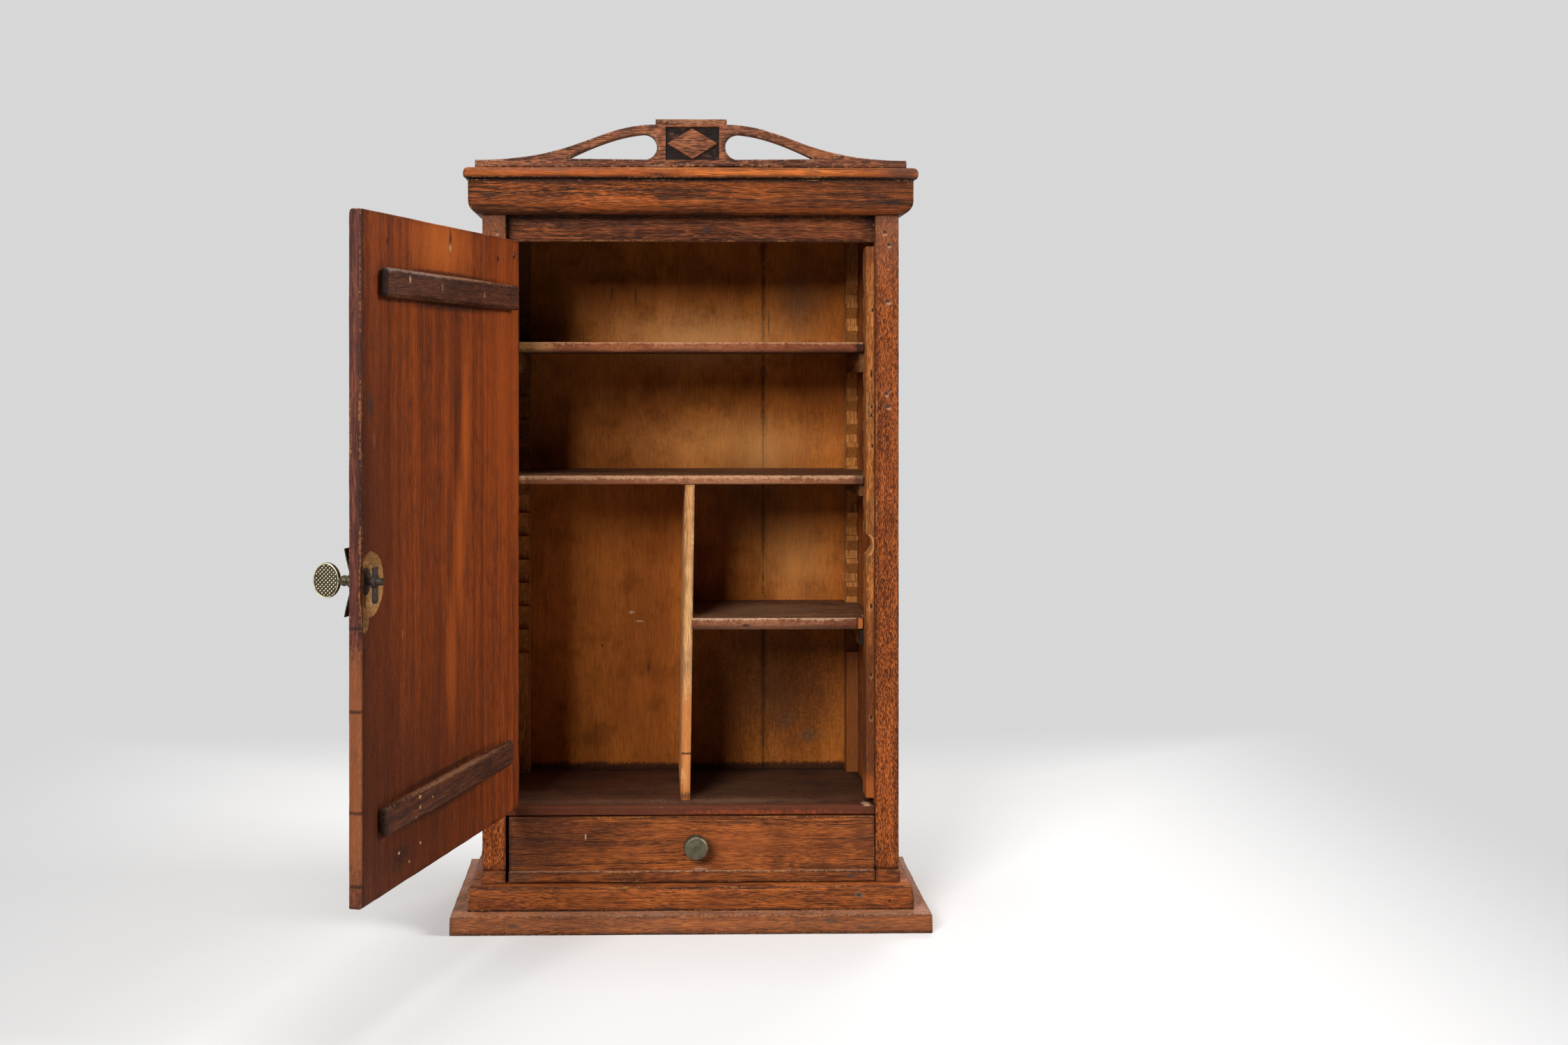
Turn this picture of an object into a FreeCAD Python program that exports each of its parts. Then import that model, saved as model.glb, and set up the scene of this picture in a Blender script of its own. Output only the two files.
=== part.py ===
import FreeCAD, Part
import math
import os

Vector = FreeCAD.Vector

# A small table-top shaving cabinet: a shallow cupboard with one plank door and one drawer, on a stepped
# plinth, under a cornice, a top board and a pierced crest. Millimetres, +Z up, front towards -Y.
# The origin is under the middle of the plinth. A "depth" is measured back from the front of the stiles.

# Carcass
CARCASS_HALF_WIDTH = 169.0
SIDE_THICKNESS = 19.0
OPENING_HALF_WIDTH = CARCASS_HALF_WIDTH - SIDE_THICKNESS
FRONT_Y = -65.5
BACK_Y = 89.5
STILE_THICKNESS = 11.0
STILE_EDGE_ROUND = 0.8
BACK_BOARD_THICKNESS = 8.0
INNER_DEPTH = BACK_Y - FRONT_Y - BACK_BOARD_THICKNESS
BACK_JOINT_X = 67.2

# Plinth: two steps, the upper one rounded over
PLINTH_LOWER_HEIGHT = 15.5
PLINTH_UPPER_HEIGHT = 20.0
PLINTH_LOWER_OVERHANG = 24.0
PLINTH_UPPER_OVERHANG = 11.0
PLINTH_LOWER_ROUND = 2.5
PLINTH_UPPER_ROUND = 5.0
BASE_TOP_Z = PLINTH_LOWER_HEIGHT + PLINTH_UPPER_HEIGHT

# Bead along the foot of the stiles, carried on across the drawer
FOOT_BEAD_HEIGHT = 10.0
FOOT_BEAD_PROJECTION = 3.0
FOOT_BEAD_SIDE_PROJECTION = 0.8
FOOT_BEAD_ROUND = 1.6

# Heights of the fixed boards
FLOOR_TOP_Z = 97.0
FLOOR_THICKNESS = 7.5
FLOOR_SETBACK = 2.0
FLOOR_EDGE_ROUND = 2.5
RAIL_BOTTOM_Z = 555.5
RAIL_SETBACK = 9.0
RAIL_THICKNESS = 10.0
RAIL_EDGE_ROUND = 1.5
CARCASS_TOP_Z = 604.5

# Cornice with a large quarter round below a flat face
CORNICE_BOTTOM_Z = 576.5
CORNICE_PROJECTION = 10.5

# Top board, bull-nosed at the front and the ends
TOP_THICKNESS = 9.5
TOP_OVERHANG = 14.5
TOP_ROUND = 4.4
TOP_Z = CARCASS_TOP_Z + TOP_THICKNESS

# Crest, sawn from one board; heights from its underside, widths from its middle
CREST_THICKNESS = 10.0
CREST_SETBACK = 5.0
CREST_BLOCK_HEIGHT = 39.0
CREST_ARM_TOP = ((174.0, 6.0), (92.0, 5.6), (76.0, 34.8), (28.7, 34.6))
CREST_PIERCING_TOP = ((99.0, 7.0), (80.0, 16.5), (58.0, 25.5), (38.0, 27.0))
CREST_PIERCING_INNER = (27.5, 16.8)
CREST_PIERCING_FOOT = (36.0, 6.5)
CREST_ARCH = ((-8.0, 0.0), (27.0, 0.9), (62.0, 0.0))
CREST_PANEL_X = 1.0
CREST_PANEL_HALF_WIDTH = 21.6
CREST_PANEL_BOTTOM = 6.0
CREST_PANEL_TOP = 32.6
CREST_PANEL_SUNK = 2.5
CREST_LOZENGE_BELOW_FACE = 0.4
CREST_LOZENGE_INSETS = (1.6, 0.3)

# Racks: notched uprights in the four corners, the front pair also stopping the door
RACK_FRONT_WIDTH = 6.7
RACK_FRONT_DEPTHS = (9.0, 34.0)
RACK_FRONT_BOTTOM_Z = 101.0
RACK_FRONT_TOP_Z = 552.0
RACK_BACK_WIDTH = 10.5
RACK_BACK_THICKNESS = 20.0
NOTCH_COUNT = 16
NOTCH_FIRST_Z = 203.0
NOTCH_PITCH = 20.5
NOTCH_DEPTH = 8.0
NOTCH_BACK_HEIGHT = 7.0
NOTCH_MOUTH_HEIGHT = 16.5

# Round bite carved out of the right front rack where the latch turns in
KEEP_CENTRE_X = 138.7
KEEP_CENTRE_Z = 307.8
KEEP_RADIUS = 10.3

# Shelves, notched round the racks and lying on loose bearers
SHELF_FRONT_DEPTH = 19.0
SHELF_END_GAP = 0.7
SHELF_RACK_GAP = 0.6
SHELF_EDGE_ROUND = 1.2
BEARER_WIDTH = 10.5
SHELF_UPPER_TOP_Z = 474.0
SHELF_UPPER_THICKNESS = 8.3
SHELF_UPPER_NOTCH = 12
SHELF_LOWER_TOP_Z = 364.4
SHELF_LOWER_THICKNESS = 7.5
SHELF_LOWER_NOTCH = 7
SHELF_SMALL_TOP_Z = 247.0
SHELF_SMALL_THICKNESS = 9.5
SHELF_SMALL_NOTCH = 1
SHELF_SMALL_LEFT_X = 0.0
SHELF_SMALL_FRONT_END_X = 137.0
SHELF_SMALL_EAR_DEPTH = 38.0

# Divider under the lower shelf, leaning a little to the right
DIVIDER_THICKNESS = 8.0
DIVIDER_FOOT_X = -8.2
DIVIDER_HEAD_X = -4.5

# Door, drawn shut and then swung to the angle where it stands open
DOOR_LEFT_X = -149.2
DOOR_RIGHT_X = 148.4
DOOR_BOTTOM_Z = 98.0
DOOR_TOP_Z = 554.8
DOOR_THICKNESS = 8.5
DOOR_EDGE_ROUND = 1.2
EDGE_STRIP_WIDTH = 4.0
DOOR_REST_ANGLE = 106.0
BATTEN_LOWER_BOTTOM_Z = 139.0
BATTEN_LOWER_LEFT_X = -119.6
BATTEN_UPPER_BOTTOM_Z = 498.0
BATTEN_UPPER_LEFT_X = -132.7
BATTEN_RIGHT_X = 121.4
BATTEN_HEIGHT = 20.0
BATTEN_THICKNESS = 7.0
BATTEN_CHAMFER = 2.4
NAIL_RADIUS = 1.1
BATTEN_NAIL_SPACING = 72.0
BATTEN_NAIL_LENGTH = 13.0

# Butt hinges: leaves let into the stile and the door's edge, barrel proud of the front
HINGE_X = -149.6
HINGE_PROUD = 3.2
HINGE_Y = FRONT_Y - HINGE_PROUD
HINGE_CENTRE_Z = (170.0, 483.0)
KNUCKLE_COUNT = 5
KNUCKLE_PITCH = 8.0
KNUCKLE_GAP = 0.4
KNUCKLE_RADIUS = 2.6
HINGE_PIN_RADIUS = 1.2
HINGE_PIN_CLEARANCE = 0.04
HINGE_PIN_HEAD_RADIUS = 2.2
HINGE_PIN_HEAD_HEIGHT = 1.6
LEAF_THICKNESS = 1.0
LEAF_TAB = 2.4
FRAME_LEAF_X = (-OPENING_HALF_WIDTH, -OPENING_HALF_WIDTH - LEAF_THICKNESS)
DOOR_LEAF_X = (DOOR_LEFT_X, DOOR_LEFT_X + LEAF_THICKNESS)
SCREW_HEAD_RADIUS = 2.4
SCREW_SHANK_RADIUS = 1.3
SCREW_LENGTH = 10.0
SCREW_SPACING = 13.0
FRAME_SCREW_DEPTH = 5.6
DOOR_SCREW_DEPTH = 4.25

# Latch: a thumb turn outside, a spindle through the door, an iron lever inside a carved hollow
LATCH_IN = 17.0
LATCH_X = DOOR_RIGHT_X - LATCH_IN
LATCH_Z = 310.0
SPINDLE_RADIUS = 2.5
SPINDLE_CLEARANCE = 0.05
SPINDLE_END_DEPTH = 16.5
SPINDLE_IN_NECK = 4.0
NECK_RADIUS = 4.4
NECK_GAP = 1.2
TURN_START = 14.0
TURN_HALF_LENGTH = 9.5
TURN_HALF_HEIGHT = 11.75
TURN_THICKNESS = 4.4
TURN_ROUND = 1.4
ESCUTCHEON_HALF_HEIGHT = 22.5
ESCUTCHEON_HALF_WIDTH = 12.0
ESCUTCHEON_THICKNESS = 0.8
ESCUTCHEON_FLAT = 5.5
ESCUTCHEON_FLARE = 4.8
ESCUTCHEON_HOLE_CLEARANCE = 0.5
LEVER_DEPTHS = (9.8, 12.2)
LEVER_BOSS_RADIUS = 4.6
LEVER_HALF_WIDTH = 2.4
LEVER_REACH = 14.5
LEVER_TAIL = 9.5
HOLLOW_CENTRE_IN = 16.0
HOLLOW_CENTRE_Z = 308.4
HOLLOW_MOUTH = (21.0, 22.0)
HOLLOW_FLOOR = (12.5, 15.0)
HOLLOW_DEPTH = 4.5
LATCH_PLATE_RADII = (7.0, 9.0)
LATCH_PLATE_THICKNESS = 1.0

# Drawer
DRAWER_X = (-147.6, 149.4)
DRAWER_BOTTOM_Z = 36.0
DRAWER_TOP_Z = 88.5
DRAWER_FRONT_DEPTHS = (0.5, 14.5)
DRAWER_BACK_DEPTH = 141.0
DRAWER_WALL = 6.0
DRAWER_SIDE_TOP_Z = 84.0
DRAWER_BACK_TOP_Z = 79.0
DRAWER_BOARD_Z = (39.0, 43.0)
LIP_TOP_Z = 45.5
LIP_PROJECTION = 3.0
LIP_ROUND = 1.6
DRAWER_EDGE_ROUND = 0.8
KNOB_X = 3.7
KNOB_Z = 67.0
KNOB_ROSE = (7.0, 1.2)
KNOB_WAIST = (4.2, 4.4)
KNOB_COLLAR = (5.8, 7.2)
KNOB_SHOULDER = (9.3, 10.0)
KNOB_WIDEST = (10.0, 13.8)
KNOB_CROWN = (8.4, 18.1)
KNOB_FACE = (4.0, 20.0)
STUD_RADIUS = 2.0
STUD_INTO_KNOB = 6.0
NUT_HALF_WIDTH = 4.5
NUT_THICKNESS = 3.0

# Filled nails in the face of each stile: distance in from the stile's outer edge, height
STILE_NAILS = ((11.5, 563.0), (8.0, 553.0), (9.0, 507.0), (10.5, 432.0), (9.0, 421.5))
STILE_NAIL_LENGTH = 24.0

SIDES = {"left": -1, "right": 1}


def at_depth(depth):
    """Y of a point that lies this far behind the front of the stiles."""
    return FRONT_Y + depth


def block(x, y, z):
    """Box between two corners given as (low, high) pairs in any order."""
    low = Vector(min(x), min(y), min(z))
    high = Vector(max(x), max(y), max(z))
    size = high - low
    return Part.makeBox(size.x, size.y, size.z, low)


def board(x, depths, z):
    """Box whose Y range is given as depths behind the front of the stiles."""
    return block(x, (at_depth(depths[0]), at_depth(depths[1])), z)


def soften(shape, radius, wanted):
    """Round the straight edges whose middle point passes the test."""
    edges = [edge for edge in shape.Edges if wanted(edge.CenterOfMass)]
    return shape.makeFillet(radius, edges)


def near(value, target):
    return abs(value - target) < 1e-4


def prism(points, direction):
    """Solid made by pushing a closed polygon along a vector."""
    wire = Part.makePolygon(points + [points[0]])
    return Part.Face(wire).extrude(direction)


def line(start, end):
    return Part.LineSegment(start, end).toShape()


def rod(start, direction, radius, length):
    return Part.makeCylinder(radius, length, start, direction)


def plinth_step(overhang, bottom_z, height, radius):
    """One step of the plinth, flush with the back and rounded along the top at the front and ends."""
    half = CARCASS_HALF_WIDTH + overhang
    front = FRONT_Y - overhang
    top = bottom_z + height
    step = block((-half, half), (front, BACK_Y), (bottom_z, top))
    outer = lambda p: near(p.z, top) and (near(p.y, front) or near(abs(p.x), half))
    return soften(step, radius, outer)


def outward(side, inner, outer):
    """X range on one side of the cabinet, from two distances out from the middle."""
    return (side * inner, side * outer)


def foot_bead(side):
    """Short block under a stile, standing a little proud of it, with a rounded top edge."""
    top = BASE_TOP_Z + FOOT_BEAD_HEIGHT
    outer = CARCASS_HALF_WIDTH + FOOT_BEAD_SIDE_PROJECTION
    shape = board(outward(side, OPENING_HALF_WIDTH, outer), (-FOOT_BEAD_PROJECTION, STILE_THICKNESS),
                  (BASE_TOP_Z, top))
    front = at_depth(-FOOT_BEAD_PROJECTION)
    return soften(shape, FOOT_BEAD_ROUND, lambda p: near(p.z, top) and near(p.y, front))


def stile_nails(side):
    """Nails driven through a stile's face into the edge of the side board, heads flush."""
    return [rod(Vector(side * (CARCASS_HALF_WIDTH - inset), FRONT_Y, z), Vector(0, 1, 0),
                NAIL_RADIUS, STILE_NAIL_LENGTH) for inset, z in STILE_NAILS]


def stile(side):
    """Facing strip on the front edge of a side board, its long front edges softened."""
    shape = board(outward(side, OPENING_HALF_WIDTH, CARCASS_HALF_WIDTH), (0, STILE_THICKNESS),
                  (BASE_TOP_Z + FOOT_BEAD_HEIGHT, CARCASS_TOP_Z))
    middle = 0.5 * (BASE_TOP_Z + FOOT_BEAD_HEIGHT + CARCASS_TOP_Z)
    shape = soften(shape, STILE_EDGE_ROUND, lambda p: near(p.y, FRONT_Y) and near(p.z, middle))
    for nail in stile_nails(side):
        shape = shape.cut(nail)
    return shape


def side_board(side):
    shape = board(outward(side, OPENING_HALF_WIDTH, CARCASS_HALF_WIDTH), (STILE_THICKNESS, INNER_DEPTH),
                  (BASE_TOP_Z, CARCASS_TOP_Z))
    for nail in stile_nails(side):
        shape = shape.cut(nail)
    return shape


def floor_board():
    """Bottom of the cupboard and top of the drawer space, its front edge worn round."""
    shape = board((-OPENING_HALF_WIDTH, OPENING_HALF_WIDTH), (FLOOR_SETBACK, INNER_DEPTH),
                  (FLOOR_TOP_Z - FLOOR_THICKNESS, FLOOR_TOP_Z))
    front = at_depth(FLOOR_SETBACK)
    return soften(shape, FLOOR_EDGE_ROUND, lambda p: near(p.y, front) and near(p.z, FLOOR_TOP_Z))


def top_rail():
    shape = board((-OPENING_HALF_WIDTH, OPENING_HALF_WIDTH), (RAIL_SETBACK, RAIL_SETBACK + RAIL_THICKNESS),
                  (RAIL_BOTTOM_Z, CARCASS_TOP_Z))
    front = at_depth(RAIL_SETBACK)
    return soften(shape, RAIL_EDGE_ROUND, lambda p: near(p.y, front) and near(p.z, RAIL_BOTTOM_Z))


def cornice_section(place):
    """Face of the cornice moulding; place turns (projection, height) into a point."""
    reach = CORNICE_PROJECTION
    corner = place(0, CORNICE_BOTTOM_Z)
    arc_end = place(reach, CORNICE_BOTTOM_Z + reach)
    half = reach * math.sqrt(0.5)
    arc_middle = place(half, CORNICE_BOTTOM_Z + reach - half)
    top_front = place(reach, CARCASS_TOP_Z)
    top_back = place(0, CARCASS_TOP_Z)
    edges = [Part.Arc(corner, arc_middle, arc_end).toShape(), line(arc_end, top_front),
             line(top_front, top_back), line(top_back, corner)]
    return Part.Face(Part.Wire(edges))


def cornice_front():
    """Length of cornice across the stiles, mitred at both ends."""
    half = CARCASS_HALF_WIDTH
    reach = CORNICE_PROJECTION
    long_half = half + reach
    section = cornice_section(lambda out, z: Vector(-long_half, FRONT_Y - out, z))
    length = section.extrude(Vector(2 * long_half, 0, 0))
    mitres = prism([Vector(-half, FRONT_Y, 0), Vector(half, FRONT_Y, 0),
                    Vector(long_half, FRONT_Y - reach, 0), Vector(-long_half, FRONT_Y - reach, 0)],
                   Vector(0, 0, TOP_Z))
    return length.common(mitres)


def cornice_return(side):
    """Length of cornice along one side, mitred to the front length and cut square at the back."""
    half = CARCASS_HALF_WIDTH
    reach = CORNICE_PROJECTION
    section = cornice_section(lambda out, z: Vector(side * (half + out), FRONT_Y - reach, z))
    length = section.extrude(Vector(0, BACK_Y - FRONT_Y + reach, 0))
    mitre = prism([Vector(side * half, FRONT_Y, 0), Vector(side * half, BACK_Y, 0),
                   Vector(side * (half + reach), BACK_Y, 0),
                   Vector(side * (half + reach), FRONT_Y - reach, 0)],
                  Vector(0, 0, TOP_Z))
    return length.common(mitre)


def top_board():
    half = CARCASS_HALF_WIDTH + TOP_OVERHANG
    front = FRONT_Y - TOP_OVERHANG
    shape = block((-half, half), (front, BACK_Y), (CARCASS_TOP_Z, TOP_Z))
    level = lambda p: near(p.z, TOP_Z) or near(p.z, CARCASS_TOP_Z)
    return soften(shape, TOP_ROUND, lambda p: level(p) and (near(p.y, front) or near(abs(p.x), half)))


def back_board(x):
    return board(x, (INNER_DEPTH, INNER_DEPTH + BACK_BOARD_THICKNESS), (BASE_TOP_Z, CARCASS_TOP_Z))


def crest_point(x, height):
    """Point on the front of the crest."""
    return Vector(x, FRONT_Y - TOP_OVERHANG + CREST_SETBACK, TOP_Z + height)


def crest_curve(side, poles):
    """Smooth curve on one side of the crest, drawn towards its poles."""
    curve = Part.BezierCurve()
    curve.setPoles([crest_point(side * x, height) for x, height in poles])
    return curve.toShape()


def crest_piercing(side):
    """Tear-shaped hole in one arm: round next to the middle block, running out to a point."""
    tip = crest_point(side * CREST_PIERCING_TOP[0][0], CREST_PIERCING_TOP[0][1])
    crown = crest_point(side * CREST_PIERCING_TOP[-1][0], CREST_PIERCING_TOP[-1][1])
    inner = crest_point(side * CREST_PIERCING_INNER[0], CREST_PIERCING_INNER[1])
    foot = crest_point(side * CREST_PIERCING_FOOT[0], CREST_PIERCING_FOOT[1])
    round_end = Part.Arc(crown, inner, foot).toShape()
    wire = Part.Wire([crest_curve(side, CREST_PIERCING_TOP), round_end, line(foot, tip)])
    return Part.Face(wire).extrude(Vector(0, CREST_THICKNESS, 0))


def crest_diamond(inset, depth):
    """Diamond outline inside the sunk panel, at a depth behind the face."""
    middle = 0.5 * (CREST_PANEL_BOTTOM + CREST_PANEL_TOP)
    half_width = CREST_PANEL_HALF_WIDTH - inset
    half_height = 0.5 * (CREST_PANEL_TOP - CREST_PANEL_BOTTOM) - inset
    corners = [crest_point(CREST_PANEL_X + dx * half_width, middle + dz * half_height) + Vector(0, depth, 0)
               for dx, dz in ((-1, 0), (0, 1), (1, 0), (0, -1))]
    return Part.makePolygon(corners + [corners[0]])


def crest_sunk_ground():
    """What is carved away round the raised lozenge of the middle block."""
    low = crest_point(CREST_PANEL_X - CREST_PANEL_HALF_WIDTH, CREST_PANEL_BOTTOM)
    high = crest_point(CREST_PANEL_X + CREST_PANEL_HALF_WIDTH, CREST_PANEL_TOP)
    panel = block((low.x, high.x), (low.y, low.y + CREST_PANEL_SUNK), (low.z, high.z))
    face_inset, foot_inset = CREST_LOZENGE_INSETS
    lozenge = Part.makeLoft([crest_diamond(face_inset, CREST_LOZENGE_BELOW_FACE),
                             crest_diamond(foot_inset, CREST_PANEL_SUNK)], True, True)
    return panel.cut(lozenge)


def crest():
    """Sawn crest: long arms sweeping up to a middle block, a piercing in each arm, a sunk panel with
    a bevelled lozenge in the block, and a slightly hollow underside."""
    end, end_height = CREST_ARM_TOP[0]
    half, arm_height = CREST_ARM_TOP[-1]
    arch = [crest_point(x, height) for x, height in CREST_ARCH]
    outline = Part.Wire([
        line(crest_point(-end, 0), arch[0]),
        Part.Arc(*arch).toShape(),
        line(arch[2], crest_point(end, 0)),
        line(crest_point(end, 0), crest_point(end, end_height)),
        crest_curve(1, CREST_ARM_TOP),
        line(crest_point(half, arm_height), crest_point(half, CREST_BLOCK_HEIGHT)),
        line(crest_point(half, CREST_BLOCK_HEIGHT), crest_point(-half, CREST_BLOCK_HEIGHT)),
        line(crest_point(-half, CREST_BLOCK_HEIGHT), crest_point(-half, arm_height)),
        crest_curve(-1, CREST_ARM_TOP),
        line(crest_point(-end, end_height), crest_point(-end, 0))])
    shape = Part.Face(outline).extrude(Vector(0, CREST_THICKNESS, 0))
    for side in SIDES.values():
        shape = shape.cut(crest_piercing(side))
    return shape.cut(crest_sunk_ground())


def notch(x, mouth_depth, into, z):
    """Saw-tooth notch: a level ledge, a short upright back and a slope out to the next tooth."""
    mouth = at_depth(mouth_depth)
    back = at_depth(mouth_depth + into * NOTCH_DEPTH)
    points = [Vector(min(x), mouth, z), Vector(min(x), back, z),
              Vector(min(x), back, z + NOTCH_BACK_HEIGHT), Vector(min(x), mouth, z + NOTCH_MOUTH_HEIGHT)]
    return prism(points, Vector(abs(x[1] - x[0]), 0, 0))


def notched(shape, x, mouth_depth, into):
    for step in range(NOTCH_COUNT):
        shape = shape.cut(notch(x, mouth_depth, into, NOTCH_FIRST_Z + step * NOTCH_PITCH))
    return shape


def keep_bite():
    """Round bite carved in the inner edge of a front rack, for the latch lever to turn into."""
    start = Vector(KEEP_CENTRE_X, at_depth(RACK_FRONT_DEPTHS[0]), KEEP_CENTRE_Z)
    return rod(start, Vector(0, 1, 0), KEEP_RADIUS, RACK_FRONT_DEPTHS[1] - RACK_FRONT_DEPTHS[0])


def rack_front(side):
    """Upright inside the front corner: its face stops the door, its back carries the bearers."""
    x = outward(side, OPENING_HALF_WIDTH - RACK_FRONT_WIDTH, OPENING_HALF_WIDTH)
    shape = board(x, RACK_FRONT_DEPTHS, (RACK_FRONT_BOTTOM_Z, RACK_FRONT_TOP_Z))
    shape = notched(shape, x, RACK_FRONT_DEPTHS[1], -1)
    if side == SIDES["right"]:
        shape = shape.cut(keep_bite())
    return shape


def rack_back(side):
    """Notched upright in the back corner, from the floor to the top."""
    x = outward(side, OPENING_HALF_WIDTH - RACK_BACK_WIDTH, OPENING_HALF_WIDTH)
    mouth = INNER_DEPTH - RACK_BACK_THICKNESS
    shape = board(x, (mouth, INNER_DEPTH), (FLOOR_TOP_Z, CARCASS_TOP_Z))
    return notched(shape, x, mouth, 1)


def bearer(side, notch_index, underside_z):
    """Loose bearer lying in one notch of the front and back racks, cut to fit under the teeth."""
    ledge = NOTCH_FIRST_Z + notch_index * NOTCH_PITCH
    front = RACK_FRONT_DEPTHS[1] - NOTCH_DEPTH
    back = INNER_DEPTH - RACK_BACK_THICKNESS + NOTCH_DEPTH
    shape = board(outward(side, OPENING_HALF_WIDTH - BEARER_WIDTH, OPENING_HALF_WIDTH), (front, back),
                  (ledge, underside_z))
    return shape.cut(rack_front(side)).cut(rack_back(side))


def shelf(left, right, z, ear_depth):
    """Shelf outline in plan; left and right are its end at the front, beside and behind the racks."""
    back_mouth = INNER_DEPTH - RACK_BACK_THICKNESS - SHELF_RACK_GAP
    depths = (SHELF_FRONT_DEPTH, ear_depth, ear_depth, back_mouth, back_mouth, INNER_DEPTH)
    spread = lambda ends: (ends[0], ends[0], ends[1], ends[1], ends[2], ends[2])
    near_side = [Vector(x, at_depth(d), z[0]) for x, d in zip(spread(right), depths)]
    far_side = [Vector(x, at_depth(d), z[0]) for x, d in zip(spread(left), depths)]
    outline = []
    for p in near_side + far_side[::-1]:
        if not any((p - q).Length < 1e-6 for q in outline):
            outline.append(p)
    shape = prism(outline, Vector(0, 0, z[1] - z[0]))
    front = at_depth(SHELF_FRONT_DEPTH)
    long_edge = lambda p: near(p.y, front) and (near(p.z, z[0]) or near(p.z, z[1]))
    return soften(shape, SHELF_EDGE_ROUND, long_edge)


def wide_shelf(top_z, thickness):
    """Shelf across the whole cupboard, notched at its four corners."""
    ends = (OPENING_HALF_WIDTH - RACK_FRONT_WIDTH - SHELF_RACK_GAP, OPENING_HALF_WIDTH - SHELF_END_GAP,
            OPENING_HALF_WIDTH - RACK_BACK_WIDTH - SHELF_RACK_GAP)
    ear = RACK_FRONT_DEPTHS[1] + SHELF_RACK_GAP
    return shelf([-x for x in ends], list(ends), (top_z - thickness, top_z), ear)


def small_shelf():
    """Short shelf from a groove in the divider to the right-hand racks."""
    right = [SHELF_SMALL_FRONT_END_X, OPENING_HALF_WIDTH - SHELF_END_GAP,
             OPENING_HALF_WIDTH - RACK_BACK_WIDTH - SHELF_RACK_GAP]
    left = [SHELF_SMALL_LEFT_X] * 3
    return shelf(left, right, (SHELF_SMALL_TOP_Z - SHELF_SMALL_THICKNESS, SHELF_SMALL_TOP_Z),
                 SHELF_SMALL_EAR_DEPTH)


def divider():
    """Upright board between floor and lower shelf, leaning slightly, grooved for the small shelf."""
    y = at_depth(SHELF_FRONT_DEPTH)
    head_z = SHELF_LOWER_TOP_Z - SHELF_LOWER_THICKNESS
    points = [Vector(DIVIDER_FOOT_X, y, FLOOR_TOP_Z),
              Vector(DIVIDER_FOOT_X + DIVIDER_THICKNESS, y, FLOOR_TOP_Z),
              Vector(DIVIDER_HEAD_X + DIVIDER_THICKNESS, y, head_z),
              Vector(DIVIDER_HEAD_X, y, head_z)]
    slab = prism(points, Vector(0, INNER_DEPTH - SHELF_FRONT_DEPTH, 0))
    return slab.cut(small_shelf())


def hinge_z(centre):
    half = 0.5 * KNUCKLE_COUNT * KNUCKLE_PITCH
    return (centre - half, centre + half)


def hinge_leaf(centre, x, depth, first_knuckle, bore_radius):
    """Leaf let flush into the wood, with its share of the knuckles rolled round the pin."""
    low, high = hinge_z(centre)
    leaf = board(x, (0, depth), (low, high))
    bores = []
    for index in range(first_knuckle, KNUCKLE_COUNT, 2):
        z0 = low + index * KNUCKLE_PITCH + 0.5 * KNUCKLE_GAP
        height = KNUCKLE_PITCH - KNUCKLE_GAP
        base = Vector(HINGE_X, HINGE_Y, z0)
        leaf = leaf.fuse(rod(base, Vector(0, 0, 1), KNUCKLE_RADIUS, height))
        leaf = leaf.fuse(board(x, (-LEAF_TAB, 0), (z0, z0 + height)))
        bores.append(rod(base, Vector(0, 0, 1), bore_radius, height))
    for bore in bores:
        leaf = leaf.cut(bore)
    for screw in leaf_screws(centre, x, depth):
        leaf = leaf.cut(screw)
    return leaf.removeSplitter()


def leaf_screws(centre, x, depth):
    """Three countersunk screws through a leaf; x runs from the leaf's open face into the wood."""
    direction = Vector(math.copysign(1, x[1] - x[0]), 0, 0)
    screw_depth = FRAME_SCREW_DEPTH if depth > DOOR_THICKNESS else DOOR_SCREW_DEPTH
    screws = []
    for step in (-1, 0, 1):
        start = Vector(x[0], at_depth(screw_depth), centre + step * SCREW_SPACING)
        head = Part.makeCone(SCREW_HEAD_RADIUS, SCREW_SHANK_RADIUS, LEAF_THICKNESS, start, direction)
        screws.append(head.fuse(rod(start, direction, SCREW_SHANK_RADIUS, SCREW_LENGTH)).removeSplitter())
    return screws


def hinge_pin(centre):
    """Pin through all the knuckles with a small button at each end."""
    low, high = hinge_z(centre)
    up = Vector(0, 0, 1)
    bottom = low + 0.5 * KNUCKLE_GAP
    top = high - 0.5 * KNUCKLE_GAP
    pin = rod(Vector(HINGE_X, HINGE_Y, bottom), up, HINGE_PIN_RADIUS, top - bottom)
    for z, direction in ((bottom, Vector(0, 0, -1)), (top, up)):
        button = Part.makeCone(HINGE_PIN_HEAD_RADIUS, 0.5 * HINGE_PIN_HEAD_RADIUS, HINGE_PIN_HEAD_HEIGHT,
                               Vector(HINGE_X, HINGE_Y, z), direction)
        pin = pin.fuse(button)
    return pin.removeSplitter()


def oval(centre, half_x, half_z):
    """Upright oval wire facing the front."""
    ellipse = Part.Ellipse(Vector(0, 0, 0), max(half_x, half_z), min(half_x, half_z)).toShape()
    wire = Part.Wire([ellipse])
    if half_z > half_x:
        wire.rotate(Vector(0, 0, 0), Vector(0, 0, 1), 90)
    wire.rotate(Vector(0, 0, 0), Vector(1, 0, 0), 90)
    wire.translate(centre)
    return wire


def oval_plate(centre, half_x, half_z, thickness):
    """Flat oval plate that starts at centre and goes back by its thickness."""
    return Part.Face(oval(centre, half_x, half_z)).extrude(Vector(0, thickness, 0))


def both_hinges(make, *details):
    """The same piece of hinge made for the lower and the upper hinge."""
    return [make(centre, *details) for centre in HINGE_CENTRE_Z]


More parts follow.
